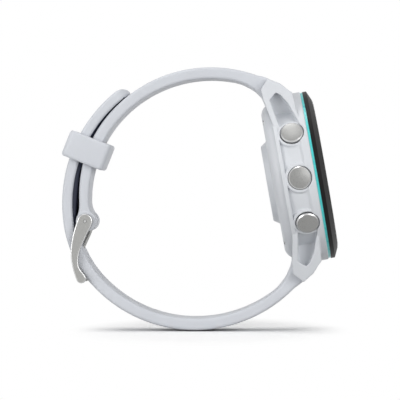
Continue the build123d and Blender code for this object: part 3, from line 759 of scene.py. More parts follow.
# ---- Strap loop -------------------------------------------------------------------------
@dataclass
class StrapBand:
    """Silicone band with round edges that follows a path at a changing thickness and width."""

    path: ArcPath
    pin_x: float
    bar_x: float = 4.4
    lug_half: float = 9.0
    buckle_half: float = 8.0
    edge: float = 0.7
    crown: float = 0.06
    strip: float = 2.1
    lip: float = 0.3

    def half_width(self, run: NDArray) -> NDArray:
        """Half width, which falls in a straight line from the lugs to the buckle pin."""
        point, _ = self.path.frames(run)
        share = np.clip((self.bar_x - point[..., 0]) / (self.bar_x - self.pin_x), 0, 1.2)
        return self.lug_half + (self.buckle_half - self.lug_half) * share

    def lay(self, run: NDArray, across: NDArray, lift: NDArray, half: NDArray) -> NDArray:
        """Points on the band, whose faces fall by crown * (across / half width) squared."""
        dip = self.crown * (across / np.maximum(half, 1e-6)) ** 2
        return on_path(self.path, run, across, lift - np.sign(lift) * dip)

    def rim(self, run: NDArray, low: NDArray, high: NDArray, half: NDArray, side: int) -> NDArray:
        """Edge of the band from the middle strip round one side to the other face.

        Each cross-section goes flat to the corner, round a quarter circle of the edge radius,
        down the side and round the other quarter.

        Args:
            run: Distances along the path, of shape (n,).
            low: Lift of the inner face.
            high: Lift of the outer face.
            half: Half widths.
            side: 1 or -1, for either side of the band.

        Returns:
            Points of shape (n, m, 3).
        """
        run, low, high, half = (v[:, None] for v in (run, low, high, half))
        strip = np.minimum(self.strip, half * 0.5)
        radius = np.minimum(np.minimum(self.edge, (high - low) * 0.48), half * 0.45)
        flat = np.linspace(0, 1, 7)[None, :-1]
        bow = np.radians(np.linspace(90, 0, 9))[None]
        reach = half - radius - strip
        across = np.concatenate(
            (strip + reach * flat, half - radius + radius * np.cos(bow)), axis=1
        )
        top = np.concatenate((high + 0 * flat, high - radius + radius * np.sin(bow)), axis=1)
        bottom = np.concatenate((low + 0 * flat, low + radius - radius * np.sin(bow)), axis=1)
        across = np.concatenate((across, across[:, ::-1]), axis=1)
        lift = np.concatenate((top, bottom[:, ::-1]), axis=1)
        return self.lay(run, across * side, lift, half)

    def strip_faces(self, run: NDArray, lift: NDArray, half: NDArray) -> NDArray:
        """Middle strip of one face, as wide as the holes' cells."""
        strip = np.minimum(self.strip, half * 0.5)[:, None]
        across = strip * np.linspace(-1, 1, 9)[None]
        return self.lay(run[:, None], across, lift[:, None], half[:, None])

    def hole(
        self, run: float, room: float, half: float, long: float, wide: float,
        drop: Callable[[NDArray], NDArray],
    ) -> NDArray:
        """One oblong hole with rounded lips, in a rectangular cell of both faces.

        A ring of points starts on the cell's edge, draws in to the oblong in straight lines,
        follows a quarter circle into the hole, goes down its wall and leaves the same way.

        Args:
            run: Distance of the hole's middle along the path.
            room: Half length of the cell.
            half: Lift of the outer face, and depth of the inner one.
            long: Length of the hole.
            wide: Width of the hole.
            drop: Extra depth of the inner face at each distance.

        Returns:
            Points of shape (rows, columns, 3), whose last column joins the first.
        """
        sides = np.linspace(-1, 1, 9)[:-1]
        ends = np.ones(8)
        box_run = room * np.concatenate((sides, ends, -sides, -ends))
        box_across = self.strip * np.concatenate((ends, -sides, -ends, sides))
        radius = wide / 2
        straight = long / 2 - radius
        angle = np.arctan2(box_across / self.strip, box_run / room)
        ring_run = np.sign(np.cos(angle)) * straight * np.minimum(1, np.abs(np.cos(angle)) * 1.8)
        away = np.stack((np.cos(angle), np.sin(angle)))
        bow = np.radians(np.linspace(0, 90, 5))
        spread = self.lip * (1 - np.sin(bow))
        spread = np.concatenate((spread, spread[::-1]))
        depth = self.lip * (1 - np.cos(bow))
        lift = np.concatenate((half - depth, (depth - half)[::-1]))
        oval_run = ring_run + away[0] * (radius + spread[:, None])
        oval_across = away[1] * (radius + spread[:, None])
        blend = np.linspace(0, 1, 4)[:-1, None]
        top_run = box_run * (1 - blend) + oval_run[:1] * blend
        top_across = box_across * (1 - blend) + oval_across[:1] * blend
        all_run = run + np.concatenate((top_run, oval_run, top_run[::-1]))
        all_across = np.concatenate((top_across, oval_across, top_across[::-1]))
        all_lift = np.concatenate((np.full(3, half), lift, np.full(3, -half)))[:, None]
        all_lift = all_lift - (all_lift < 0) * drop(all_run)
        return self.lay(all_run, all_across, all_lift, self.half_width(all_run))


@dataclass
class StrapLoop:
    """The two silicone straps: one from the 12 o'clock lugs to the buckle, one through it.

    A swell is what a face stands proud of the band's even thickness. The tip's plan, over and
    under are the lengths over which its outline, outer face and inner face come together.
    """

    loop_radius: float = 31.6
    bar: tuple[float, float] = (4.4, 23.0)
    root_end: tuple[float, float] = (4.75, 20.25)
    root_blend: float = 6.0
    root_half: float = 2.2
    root_outer_reach: float = 6.6
    root_inner_reach: float = 11.0
    root_corner: float = 0.7
    root_bulge: float = 0.1
    root_span: float = 14.0
    end_run: float = 1.2
    clasp_angle: float = 125.0
    clasp_tightening: float = 1.25
    thickness: float = 2.5
    barrel_radius: float = 2.5
    barrel_blend: float = 6.5
    tail_thickness: float = 2.6
    tip_angle: float = 119.0
    tip_gap: float = 0.42
    tip_plan: float = 5.0
    tip_over: float = 2.6
    tip_under: float = 0.8
    tip_meet: float = 0.45
    buckle_gap: float = 1.3
    inner_swell: float = 0.15
    outer_swell: float = 0.28
    tail_swell: float = 0.42
    tail_radius: float = 34.2
    bend_radius: float = 26.5
    bend_sweep: float = 32.7
    hole_run: float = 8.3
    hole_pitch: float = 6.5
    hole_long: float = 4.2
    hole_wide: float = 2.4
    holes: tuple[int, int] = (-3, 5)
    notch_half: float = 1.3
    notch_wide: float = 4.0
    notch_top: float = 1.65
    notch_low: float = -6.5
    cheek: tuple[float, float, float] = (6.6, 7.2, 8.12)
    cheek_root: float = 2.1
    bore: float = 0.76
    release_y: float = -5.2
    release_slot: float = 0.55
    release_travel: float = 1.1
    release_depth: float = 4.0
    # Sizes of the dark rib in the gap between the straps; its dark colour is painted shade.
    shade_rib_half: float = 7.2
    shade_rib_clearance: float = 0.12
    shade_rib_root: float = 0.25

    def __post_init__(self) -> None:
        """Find the loop's centre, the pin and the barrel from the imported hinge."""
        joints = {joint["name"]: joint for joint in frame["joints"]}
        pin, clasp = (joints[name]["pos_m"] for name in ("buckle_hinge", "keeper_slide"))
        self.pin, self.clasp = (np.array((at[0], at[2])) / MM for at in (pin, clasp))
        self.centre = polar(self.clasp, -self.clasp_tightening, self.clasp_angle)
        self.clasp_radius = self.loop_radius - self.clasp_tightening
        away = self.pin - self.clasp
        self.barrel_angle = np.degrees(np.arctan2(away[1], away[0])) % 360

    def crown_path(self) -> ArcPath:
        """Centreline of the buckle strap, from its root between the lugs to the barrel."""
        bar_angle = np.degrees(np.arctan2(self.bar[1] - self.centre[1], self.bar[0] - self.centre[0]))
        joined = bar_angle + self.root_blend
        root, landing = np.array(self.root_end), polar(self.centre, self.loop_radius, joined)
        chord = np.arctan2(*(landing - root)[::-1])
        first = 2 * chord - np.radians(joined + 90)
        path = ArcPath(root, first).reach(landing)
        path.turn(self.loop_radius, np.radians(self.clasp_angle - joined))
        return path.turn(self.clasp_radius, np.radians(self.barrel_angle - self.clasp_angle))

    def tail_path(self) -> ArcPath:
        """Centreline of the tail, from its tip through the buckle to its root."""
        outer = self.loop_radius + self.thickness / 2 + self.tail_thickness / 2
        tip = polar(self.centre, outer + self.tip_gap, self.tip_angle)
        level = polar(self.centre, outer + self.buckle_gap, 180)
        chord = level - tip
        bend = np.arcsin(np.hypot(*chord) / 2 / self.tail_radius)
        path = ArcPath(tip, np.arctan2(chord[1], chord[0]) - bend)
        path.turn(self.tail_radius, 2 * bend)
        self.level_run = path.length
        path.turn(self.bend_radius, np.radians(self.bend_sweep))
        path.reach(np.array((self.bar[0], -self.bar[1])), 0.94)
        path.reach(np.array((self.root_end[0], -self.root_end[1])))
        self.tail_length = path.length
        return path

    def thicken_root(self, left: NDArray, half: float, reach: float, bulge: float = 0.0) -> NDArray:
        """Distance from a root's middle line to one face; the face rounds off at the end.

        The distance eases up to the root's own over the reach, plus a bell curve 3.4 mm before
        the end.

        Args:
            left: Distance left before the root's end.
            half: Half thickness of the band.
            reach: Where the thickening starts, before the end.
            bulge: Height of the bell curve.

        Returns:
            The distance of the face at each place.
        """
        grown = half + (self.root_half - half) * smooth_step((reach - left) / (reach - 3.0))
        grown = grown + bulge * np.exp(-(((left - 3.4) / 1.7) ** 2))
        return grown + self.root_corner * (round_step(left / self.root_corner) - 1)

    def knob_slot(self, side: int) -> Piece:
        """Cutter for the release knob's slot, on the wrist side of a root."""
        start = np.array((self.bar[0], self.release_y, self.bar[1] * side))
        turn = np.linspace(0, 2 * np.pi, 32, endpoint=False)
        across = np.cos(turn) * self.release_slot
        across += np.where(np.cos(turn) > 0, self.release_travel, 0.0)
        ring = np.stack((0 * turn, across, np.sin(turn) * self.release_slot), -1)
        rows = np.stack((ring * 0, ring, ring, ring * 0)) + start
        rows[2:, :, 0] -= self.release_depth
        return Shell("knob_slot").patch(rows, wrap=True).build([])

    def buckle_strap(self, silicone: Material) -> Piece:
        """Build the strap that holds the buckle.

        Its half thickness near the barrel is the strap's, then an arc of the blend radius that
        touches both, then the barrel's own circle.
        """
        band = StrapBand(self.crown_path(), self.pin[0])
        total = band.path.length
        radius, blend, flat = self.barrel_radius, self.barrel_blend, self.thickness / 2
        reach = np.sqrt((radius + blend) ** 2 - (flat + blend) ** 2)
        meet = -radius * reach / (radius + blend)
        run = np.concatenate(
            (
                self.end_run * (1 - np.cos(np.linspace(0, np.pi / 2, 10)[:-1])),
                np.linspace(self.end_run, total - reach, 150)[:-1],
                np.linspace(total - reach, total + meet, 14)[:-1],
                total + radius * np.sin(np.linspace(np.arcsin(meet / radius), np.pi / 2, 26)),
            )
        )
        d = run - total
        swell = flat + blend - np.sqrt(np.maximum(blend**2 - (d + reach) ** 2, 0))
        circle = np.sqrt(np.maximum(radius**2 - d**2, 0))
        half = np.where(d < -reach, flat, np.where(d < meet, swell, circle))
        settled = smooth_step((total - reach - run) / 12.0) * smooth_step((run - 2.0) / 4.0)
        outer_root = self.thicken_root(run, flat, self.root_outer_reach)
        inner_root = self.thicken_root(run, flat, self.root_inner_reach, self.root_bulge)
        high = np.where(run < self.root_span, outer_root, half) + self.outer_swell * settled
        low = -np.where(run < self.root_span, inner_root, half) - self.inner_swell * settled
        width = band.half_width(run)
        shell = Shell("buckle_strap_skin")
        for side in (-1, 1):
            shell.patch(band.rim(run, low, high, width, side))
        shell.patch(band.strip_faces(run, high, width)).patch(band.strip_faces(run, low, width))
        piece = shell.build([silicone])
        side, pin = 1.5 * band.buckle_half * ACROSS, upright(self.pin)
        bore = rod("pin_bore", pin - side, pin + side, self.bore)
        carve(piece, [bore, self.notch_cutter(), self.knob_slot(1)])
        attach(piece, "watch")
        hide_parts("buckle_strap")
        return piece

    def notch_cutter(self) -> Piece:
        """Cutter for the tongue's notch: a rounded slab across the barrel, open below."""
        wide, top, low = self.notch_wide, self.notch_top, self.notch_low
        corners = [(0, low), (-wide, low), (-wide, top), (wide, top), (wide, low), (0, low)]
        outline = fillet_corners(corners, [0, 0.5, 1.2, 1.2, 0.5, 0], 8)
        return slab("notch", outline[:-1] + self.pin, -self.notch_half, self.notch_half)

    def barrel_ends(self, silicone: Material) -> list[Piece]:
        """Build the two crisp round cheeks at the ends of the barrel, where the arms turn.

        A cheek's foot, step and end are places across: it widens from the foot to the step.
        """
        origin, radius = upright(self.crown_path().start), self.barrel_radius
        foot, step, end = self.cheek
        profile = fillet_corners(
            [(foot, 0), (foot, self.cheek_root), (step, radius), (end, radius), (end, 0)],
            [0, 0.2, 0.2, 0.22, 0],
        )
        cheeks = []
        for side in (-1, 1):
            shell = Shell(f"barrel_cheek_{'near' if side < 0 else 'far'}")
            shell.patch(lathe(profile, origin, side * ACROSS, 64), wrap=True)
            cheek = shell.build([silicone], 30.0)
            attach(cheek, "watch")
            cheeks.append(cheek)
        return cheeks

    def tail_drop(self, run: NDArray) -> NDArray:
        """Extra depth of the tail's inner face past the buckle, eased in and out again."""
        return (
            self.tail_swell
            * smooth_step((run - self.level_run) / 7.0)
            * smooth_step((self.tail_length - run) / 34.0) ** 0.6
        )

    def tail_strap(self, silicone: Material) -> Piece:
        """Build the tail: holed faces, full round edges, a rounded tip and a root.

        Towards the tip the half width falls as a super-ellipse of power 3, and the outer face
        comes down as a quarter ellipse to the inner one.
        """
        band = StrapBand(self.tail_path(), self.pin[0])
        flat, room = self.tail_thickness / 2, self.hole_pitch / 2
        start = -flat
        number = np.arange(self.holes[0], self.holes[1] + 1)
        middles = self.level_run + self.hole_run - self.hole_pitch * number
        first, last = middles.min() - room, middles.max() + room
        total = band.path.length
        tip = start + (first - start) * (1 - np.cos(np.linspace(0, np.pi / 2, 30)))[:-1]
        holed = np.linspace(first, last, 8 * len(middles) + 1)
        rest = np.concatenate(
            (
                np.linspace(last, total - self.end_run, 70)[1:-1],
                total - self.end_run * (1 - np.cos(np.linspace(np.pi / 2, 0, 10))),
            )
        )
        run = np.concatenate((tip, holed, rest))
        from_tip = run - start
        plan = (1 - np.clip(1 - from_tip / self.tip_plan, 0, 1) ** 3) ** (1 / 3)
        over, under = (round_step(from_tip / reach) for reach in (self.tip_over, self.tip_under))
        left = total - run
        outer_root = self.thicken_root(left, flat, self.root_outer_reach)
        inner_root = self.thicken_root(left, flat, self.root_inner_reach, self.root_bulge)
        meet = -self.tip_meet * flat
        high = np.where(left < self.root_span, outer_root, meet + (flat - meet) * over)
        low = np.where(left < self.root_span, -inner_root, meet - (flat + meet) * under)
        low = low - self.tail_drop(run)
        width = np.maximum(band.half_width(run) * plan, 1e-4)
        shell = Shell("tail_strap_skin")
        for side in (-1, 1):
            shell.patch(band.rim(run, low, high, width, side))
        for part in (slice(0, len(tip) + 1), slice(len(tip) + len(holed) - 1, None)):
            shell.patch(band.strip_faces(run[part], high[part], width[part]))
            shell.patch(band.strip_faces(run[part], low[part], width[part]))
        for middle in middles:
            cell = band.hole(middle, room, flat, self.hole_long, self.hole_wide, self.tail_drop)
            shell.patch(cell, wrap=True)
        piece = shell.build([silicone])
        carve(piece, [self.knob_slot(-1)])
        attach(piece, "watch")
        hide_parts("tail_strap")
        return piece

    def shade_rib(self, painted_shade: Material) -> Piece:
        """Build the dark raised rib on the tail's inner face, which fills most of the gap.

        Its dark colour is painted shade: it stands in for the deep shadow in the narrow gap between
        the straps. Its height is the free distance to the other strap less a clearance, faded out
        at both ends, and falls off as a super-ellipse of power 4 across.
        """
        path = self.tail_path()
        run = np.linspace(0.4, self.level_run + 0.5, 120)[:, None]
        share = np.linspace(-1, 1, 33)[None]
        inner = self.tail_thickness / 2
        face = on_path(path, run[:, 0], 0 * run[:, 0], 0 * run[:, 0] - inner)
        other = self.crown_path()
        along = np.linspace(other.length * 0.3, other.length, 700)
        reach, flat = self.barrel_blend + self.barrel_radius, self.thickness / 2
        before = np.clip(other.length - along, 0, None)
        swell = np.clip(1 - before / reach, 0, 1) ** 2 * (self.barrel_radius - flat)
        outer_face = on_path(other, along, 0 * along, flat + swell)
        free = np.linalg.norm(face[:, None] - outer_face[None], axis=2).min(axis=1)[:, None]
        fade = smooth_step((run - run[0]) / 4.0) * smooth_step((run[-1] - run) / 1.5)
        height = np.clip(free - self.shade_rib_clearance, 0.05, None) * fade
        rise = height * (1 - np.abs(share) ** 4) ** 0.25
        low = on_path(path, run, share * self.shade_rib_half, -inner - rise)
        high = on_path(path, run, share * self.shade_rib_half, self.shade_rib_root - inner + 0 * rise)
        shell = Shell("tail_shade_rib").patch(low).patch(high)
        for edge in (0, -1):
            shell.patch(np.stack((low[edge], high[edge])))
            shell.patch(np.stack((low[:, edge], high[:, edge])))
        piece = shell.build([painted_shade])
        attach(piece, "watch")
        return piece


@dataclass
class Keeper:
    """Free silicone loop round both straps."""

    straps: StrapLoop
    angle: float = 148.4
    length: float = 6.6
    inner_clearance: float = 0.5
    strap_gap: float = 1.2
    outer_clearance: float = 0.35
    inner_wall: float = 2.1
    outer_wall: float = 1.6
    side_wall: float = 1.5
    slot_half: float = 8.34
    slot_bend: float = 0.5
    bend: float = 1.3
    edge: float = 0.85
    edge_drop: float = 0.55
    lip: float = 0.35

    @staticmethod
    def ring(low: float, high: float, half: float, radius: float) -> NDArray:
        """Rounded rectangle of radial and sideways places, as a closed ring."""
        return rounded_ring((high - low) / 2, half, radius, 9) + ((high + low) / 2, 0.0)

    def build(self, silicone: Material) -> Piece:
        """Build the keeper: a rounded wall section carried round a rounded rectangle.

        The section goes from the hollow out to the body along one end, round the body's two
        edges, back in along the other end and round the hollow's two lips.
        """
        straps = self.straps
        inner = straps.clasp_radius - straps.thickness / 2 - self.inner_clearance
        outer = inner + self.inner_clearance + straps.thickness + self.strap_gap
        outer += straps.tail_thickness + self.outer_clearance
        hollow = self.ring(inner, outer, self.slot_half, self.slot_bend)
        body = self.ring(
            inner - self.inner_wall, outer + self.outer_wall, self.slot_half + self.side_wall, self.bend
        )
        half = self.length / 2
        quarter = np.radians(np.linspace(0, 90, 7))
        inset, bow = 1 - np.sin(quarter), 1 - np.cos(quarter)
        both = np.concatenate((inset, inset[::-1]))
        out = np.linspace(0, 1, 4)[:-1]
        back = out[:0:-1]
        share = np.concatenate((out, 1 + 0 * both, back, 0 * both))
        drop = self.lip + self.edge_drop
        shift = np.concatenate(
            (self.lip - drop * out, -self.edge_drop * both, self.lip - drop * back, self.lip * both)
        )
        along = np.concatenate((
            0 * out - half, self.edge * bow - half, half - self.edge * bow[::-1],
            0 * back + half, half - self.lip * bow, self.lip * bow[::-1] - half,
        ))
        wall = body - hollow
        away = wall / np.linalg.norm(wall, axis=1, keepdims=True)
        flat = hollow[None] + wall[None] * share[:, None, None] + away[None] * shift[:, None, None]
        middle = polar(np.zeros(2), 1.0, self.angle)
        tangent = np.array((-middle[1], middle[0]))
        place = straps.clasp + flat[..., :1] * middle + along[:, None, None] * tangent
        grid = upright(place, flat[..., 1])
        grid = np.concatenate((grid, grid[:1]))
        piece = Shell("keeper_skin").patch(grid, wrap=True).build([silicone])
        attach(piece, "keeper")
        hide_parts("keeper")
        return piece


@dataclass
class Buckle:
    """Steel buckle: two bowed arms with polished rims, a round cross bar and the tongue.

    Places in the side view are relative to the pin. Each pair of bows or turns is for an arm's
    outer and inner edge.
    """

    pin: NDArray
    inner: float = 8.25
    thickness: float = 1.4
    head: float = 1.85
    bar_radius: float = 0.83
    bar_flare: float = 0.05
    bar_seat: float = 0.4
    bar: tuple[float, float] = (-3.63, -13.64)
    bow_out: tuple[float, float] = (-5.0, -9.3)
    bow_in: tuple[float, float] = (-3.38, -10.4)
    head_turns: tuple[float, float] = (150.0, -35.0)
    toe_turns: tuple[float, float] = (192.0, 384.0)
    toe_shift: tuple[float, float] = (0.3, -0.02)
    toe_radius: float = 1.2
    rim: float = 0.24
    rim_depth: float = 0.3
    back_edge: float = 0.2
    bore: float = 0.42
    knee: tuple[float, float] = (0.45, -2.6)
    shoulder: tuple[float, float] = (-4.42, -9.72)
    notch_half: float = 1.12
    notch_floor: float = -0.1
    tongue_half: float = 1.0
    tongue_lift: float = 0.4
    tongue_rest: float = 0.55
    tongue_end: tuple[float, float] = (0.02, -0.55)
    tongue_nose: float = 0.55
    eye_radius: float = 1.35
    eye_bore: float = 0.75

    def outline(self, steps: int = 48) -> tuple[NDArray, NDArray]:
        """Outer and inner edge of an arm, from the top of its head to the bottom of its toe.

        Each edge is an arc round the head, a cubic through the bow and an arc round the toe.

        Args:
            steps: Points on each edge.

        Returns:
            The outer and the inner edge, each of shape (n, 2), relative to the pin.
        """
        bar = np.array(self.bar) + self.toe_shift
        edges = []
        sides = zip((1, -1), (self.bow_out, self.bow_in), self.head_turns, self.toe_turns)
        for side, bow, turn, toe_start in sides:
            head_turn = np.radians(np.linspace(60, turn, 14))
            head = self.head * np.stack((np.cos(head_turn), np.sin(head_turn)), -1)
            toe_turn = np.radians(np.linspace(toe_start, 278, 12))
            toe = bar + self.toe_radius * np.stack((np.cos(toe_turn), np.sin(toe_turn)), -1)
            a, c = head[-1], toe[0]
            b = np.array(bow)
            leave = side * np.array((-np.sin(head_turn[-1]), np.cos(head_turn[-1])))
            arrive = side * np.array((-np.sin(toe_turn[0]), np.cos(toe_turn[0])))
            through = np.array((0.0, -1.0))
            edges.append(
                np.concatenate((head, self.cubic(a, b, leave, through, steps // 2)[1:],
                                self.cubic(b, c, through, arrive, steps // 2)[1:-1], toe))
            )
        return edges[0], edges[1]

    @staticmethod
    def cubic(a: NDArray, b: NDArray, out: NDArray, into: NDArray, steps: int) -> NDArray:
        """Hermite cubic from a to b: its end slopes are the directions times the distance.

        Args:
            a: First point.
            b: Last point.
            out: Direction in which it leaves the first point.
            into: Direction in which it arrives at the last point.
            steps: Number of points.

        Returns:
            Points of shape (steps, 2).
        """
        t = np.linspace(0, 1, steps)[:, None]
        span = np.linalg.norm(b - a)
        return (
            (2 * t**3 - 3 * t**2 + 1) * a
            + (t**3 - 2 * t**2 + t) * span * out
            + (3 * t**2 - 2 * t**3) * b
            + (t**3 - t**2) * span * into
        )

    def arm(self, side: int, steel: Material, bright: Material) -> Piece:
        """Build one arm: rounded edges round both faces, and faces ruled from edge to edge.

        Args:
            side: 1 or -1, for either side of the straps.
            steel: Finish of the faces.
            bright: Finish of the polished rim.
        """
        outer, inner = self.outline()
        ring = np.concatenate((outer, inner[::-1][1:-1]))
        along = np.roll(ring, -1, axis=0) - np.roll(ring, 1, axis=0)
        along /= np.linalg.norm(along, axis=1, keepdims=True)
        away = np.stack((-along[:, 1], along[:, 0]), -1)
        turn = np.radians(np.linspace(0, 90, 6))
        inset, bow = 1 - np.sin(turn), 1 - np.cos(turn)
        inset = np.concatenate((self.back_edge * inset, self.rim * inset[::-1]))
        depth = np.concatenate((self.back_edge * bow, self.thickness - self.rim_depth * bow[::-1]))
        flat = self.pin + ring[None] + away[None] * inset[:, None, None]
        grid = upright(flat, side * (self.inner + depth[:, None]))
        shell = Shell(f"buckle_arm_{'near' if side < 0 else 'far'}")
        shell.patch(grid[:7], 0, wrap=True).patch(grid[6:], 1, wrap=True)
        count = len(outer)
        for row, height in ((0, 0.0), (-1, self.thickness)):
            left = flat[row, :count]
            right = np.concatenate((left[:1], flat[row, count:][::-1], left[-1:]))
            share = np.linspace(0, 1, 7)[:, None, None]
            face = left[None] * (1 - share) + right[None] * share
            shell.patch(upright(face, side * (self.inner + height)), 0)
        piece = shell.build([steel, bright], 30.0)
        centre, reach = upright(self.pin, side * (self.inner + self.thickness / 2)), 2.0 * ACROSS
        carve(piece, [rod("arm_bore", centre - reach, centre + reach, self.bore)])
        return piece

    def cross_bar(self, bright: Material) -> Piece:
        """Build the cross bar, a rod with a flat-bottomed notch in which the tongue lies."""
        half = self.inner + self.bar_seat
        share = np.linspace(-1, 1, 41)
        profile = np.stack((share * half, self.bar_radius + self.bar_flare * share**4), -1)
        profile = np.concatenate(((profile[:1] * (1, 0)), profile, (profile[-1:] * (1, 0))))
        place = self.pin + self.bar
        grid = lathe(profile, upright(place), ACROSS, 40)
        piece = Shell("buckle_bar").patch(grid, wrap=True).build([bright])
        floor, reach = self.notch_floor, 2.0
        corners = place + np.array(
            ((floor, -reach), (floor, reach), (-reach, reach), (-reach, -reach))
        )
        return carve(piece, [slab("tongue_notch", corners, -self.notch_half, self.notch_half)])

    def tongue(self, steel: Material) -> Piece:
        """Build the tongue: an eye round the pin and a flat bar through the hole to the notch.

        The bar runs down from the pin, bends at the knee, goes slanting through the tail's hole
        to the shoulder and comes down into the cross bar's notch.

        Args:
            steel: Finish of the tongue.
        """
        rest = self.pin + self.bar - np.array((self.tongue_rest, 0.0))
        inner, outer = self.pin + self.knee, self.pin + self.shoulder
        end = rest + self.tongue_end
        start = self.pin + (inner - self.pin) * 0.2
        corners = [tuple(point) for point in (start, inner, outer, rest, end)]
        line = fillet_corners(corners, [0, 0.9, 0.9, 0.8, 0], 10)
        steps = np.r_[0, np.cumsum(np.linalg.norm(np.diff(line, axis=0), axis=1))]
        run = np.linspace(0, steps[-1], 90)
        run = np.sort(np.concatenate((run, steps[-1] - np.linspace(0, 0.7, 10)[1:-1])))
        line = np.stack([np.interp(run, steps, line[:, axis]) for axis in (0, 1)], -1)
        nose = np.maximum(round_step((steps[-1] - run) / self.tongue_nose), np.sqrt(0.02))
        half = self.tongue_half
        section = rounded_ring(half, self.tongue_lift, 0.22)
        shell = sweep("tongue_bar", line, section, nose)
        eye = band_profile(-half, half, self.eye_bore, self.eye_radius, 0.15)
        shell.patch(lathe(eye, upright(self.pin), ACROSS, 40), wrap=True)
        piece = shell.build([steel], 35.0)
        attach(piece, "buckle_tongue")
        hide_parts("buckle_tongue")
        return piece

    def build(self, steel: Material, bright: Material) -> list[Piece]:
        """Build both arms and the bar.

        Args:
            steel: Finish of the arms' faces.
            bright: Finish of their rims and of the bar.

        Returns:
            The three pieces.
        """
        pieces = [self.arm(-1, steel, bright), self.arm(1, steel, bright), self.cross_bar(bright)]
        for piece in pieces:
            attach(piece, "buckle_frame")
        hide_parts("buckle_frame")
        return pieces


@dataclass
class ReleasePin:
    """Sliding pin of a quick-release spring bar, with its knob in the strap's slot."""

    side: int
    name: str
    bar: tuple[float, float] = (4.4, 23.0)
    knob_y: float = -5.2
    radius: float = 0.4
    inner: float = -3.0
    outer: float = -10.1
    knob_radius: float = 0.42
    knob_reach: float = 2.0

    def build(self, steel: Material) -> Piece:
        """Build the pin along the bar, and its round-nosed knob that points to the wrist."""
        origin = np.array((self.bar[0], 0.0, self.bar[1] * self.side))
        pin = fillet_corners(
            [(self.outer, 0), (self.outer, self.radius), (self.inner, self.radius), (self.inner, 0)],
            [0, 0.15, 0.15, 0],
        )
        knob = fillet_corners(
            [(0, 0), (0, self.knob_radius), (self.knob_reach, self.knob_radius), (self.knob_reach, 0)],
            [0, 0, 0.2, 0],
        )
        shell = Shell(f"{self.name}_pin_skin")
        shell.patch(lathe(pin, origin, ACROSS, 32), wrap=True)
        shell.patch(lathe(knob, origin + self.knob_y * ACROSS, -OUT_OF_WRIST, 32), wrap=True)
        piece = shell.build([steel], 30.0)
        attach(piece, self.name)
        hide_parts(f"{self.name}_pin")
        return piece


# ---- Case -------------------------------------------------------------------------------
@dataclass
class Button:
    """Round push button: a domed satin cap with a polished bevel on a stem."""

    name: str
    angle: float
    side: int
    centre_x: float = 8.1
    face: float = 21.2
    radius: float = 2.8
    thickness: float = 1.6
    bevel: float = 0.26
    dome: float = 0.16
    stem: float = 1.0
    stem_length: float = 3.4
    tip: float = 0.5
    tip_length: float = 0.8
    collar_face: float = 20.5
    collar_radius: float = 3.6

    def seat(self) -> tuple[NDArray, NDArray]:
        """Middle of the cap's face, and the direction in which the cap points."""
        turn = np.radians(self.angle)
        axis = np.array((0.0, self.side * np.cos(turn), np.sin(turn)))
        return self.centre_x * OUT_OF_WRIST + self.face * axis, axis

    def build(self, satin: Material, bright: Material) -> Piece:
        """Build the button; the face's dome falls as (radius / rim) squared from its middle.

        Args:
            satin: Finish of the face.
            bright: Finish of the bevel, the side and the stem.
        """
        rim = self.radius - self.bevel
        out = np.linspace(0, rim, 12)
        face = np.stack((-self.dome * (out / rim) ** 2, out), -1)
        base = -self.thickness
        tip = base - self.stem_length
        side = fillet_corners(
            [
                (-self.dome, rim), (-self.dome - self.bevel, self.radius),
                (base, self.radius), (base, self.stem), (tip, self.stem), (tip, self.tip),
                (tip - self.tip_length, self.tip), (tip - self.tip_length, 0),
            ],
            [0, 0.08, 0.15, 0.1, 0.1, 0.05, 0.1, 0],
        )
        origin, axis = self.seat()
        shell = Shell(f"{self.name}_cap_skin")
        shell.patch(lathe(face, origin, axis, 72), 0, wrap=True)
        shell.patch(lathe(side, origin, axis, 72), 1, wrap=True)
        piece = shell.build([satin, bright], 25.0)
        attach(piece, self.name)
        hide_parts(f"{self.name}_cap")
        return piece

    def collar(self, polymer: Material) -> Piece:
        """Build the raised round collar that the cap moves in."""
        top, inner, outer = self.collar_face - self.face, self.radius + 0.13, self.collar_radius
        profile = fillet_corners(
            [
                (top - 1.2, inner), (top, inner), (top, outer), (top - 1.0, outer + 0.12),
                (top - 1.2, inner),
            ],
            [0, 0.07, 0.3, 0.05, 0],
        )
        origin, axis = self.seat()
        shell = Shell(f"{self.name}_collar").patch(lathe(profile[::-1], origin, axis, 72), wrap=True)
        piece = shell.build([polymer], 40.0)
        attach(piece, "watch")
        return piece


@dataclass
class Moulding:
    """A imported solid's own shape, taken over as one skin with small rounds on every edge."""

    node: str
    voxel: float = 0.17
    rounds: int = 5
    keep: float = 0.55

    def build(self, finish: Material, slot: str) -> Piece:
        """Remesh a merged copy of the solid evenly, relax it and thin it out.

        Args:
            finish: Material of the skin.
            slot: Material slot in the record; not used.
        """
        mesh = frame["nodes"][self.node].data.copy()
        mesh.materials.clear()
        piece = weld(f"{self.node}_skin", mesh)
        remesh = piece.modifiers.new("even", "REMESH")
        remesh.mode = "VOXEL"
        remesh.voxel_size = self.voxel * MM
        remesh.use_smooth_shade = True
        relax = piece.modifiers.new("relax", "SMOOTH")
        relax.factor = 0.5
        relax.iterations = self.rounds
        thin = piece.modifiers.new("thin", "DECIMATE")
        thin.ratio = self.keep
        bpy.context.view_layer.update()
        held = piece.evaluated_get(bpy.context.evaluated_depsgraph_get())
        skin = bpy.data.meshes.new_from_object(held)
        piece.modifiers.clear()
        piece.data = skin
        skin.materials.clear()
        skin.materials.append(finish)
        skin.shade_smooth()
        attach(piece, "watch")
        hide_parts(self.node)
        return piece


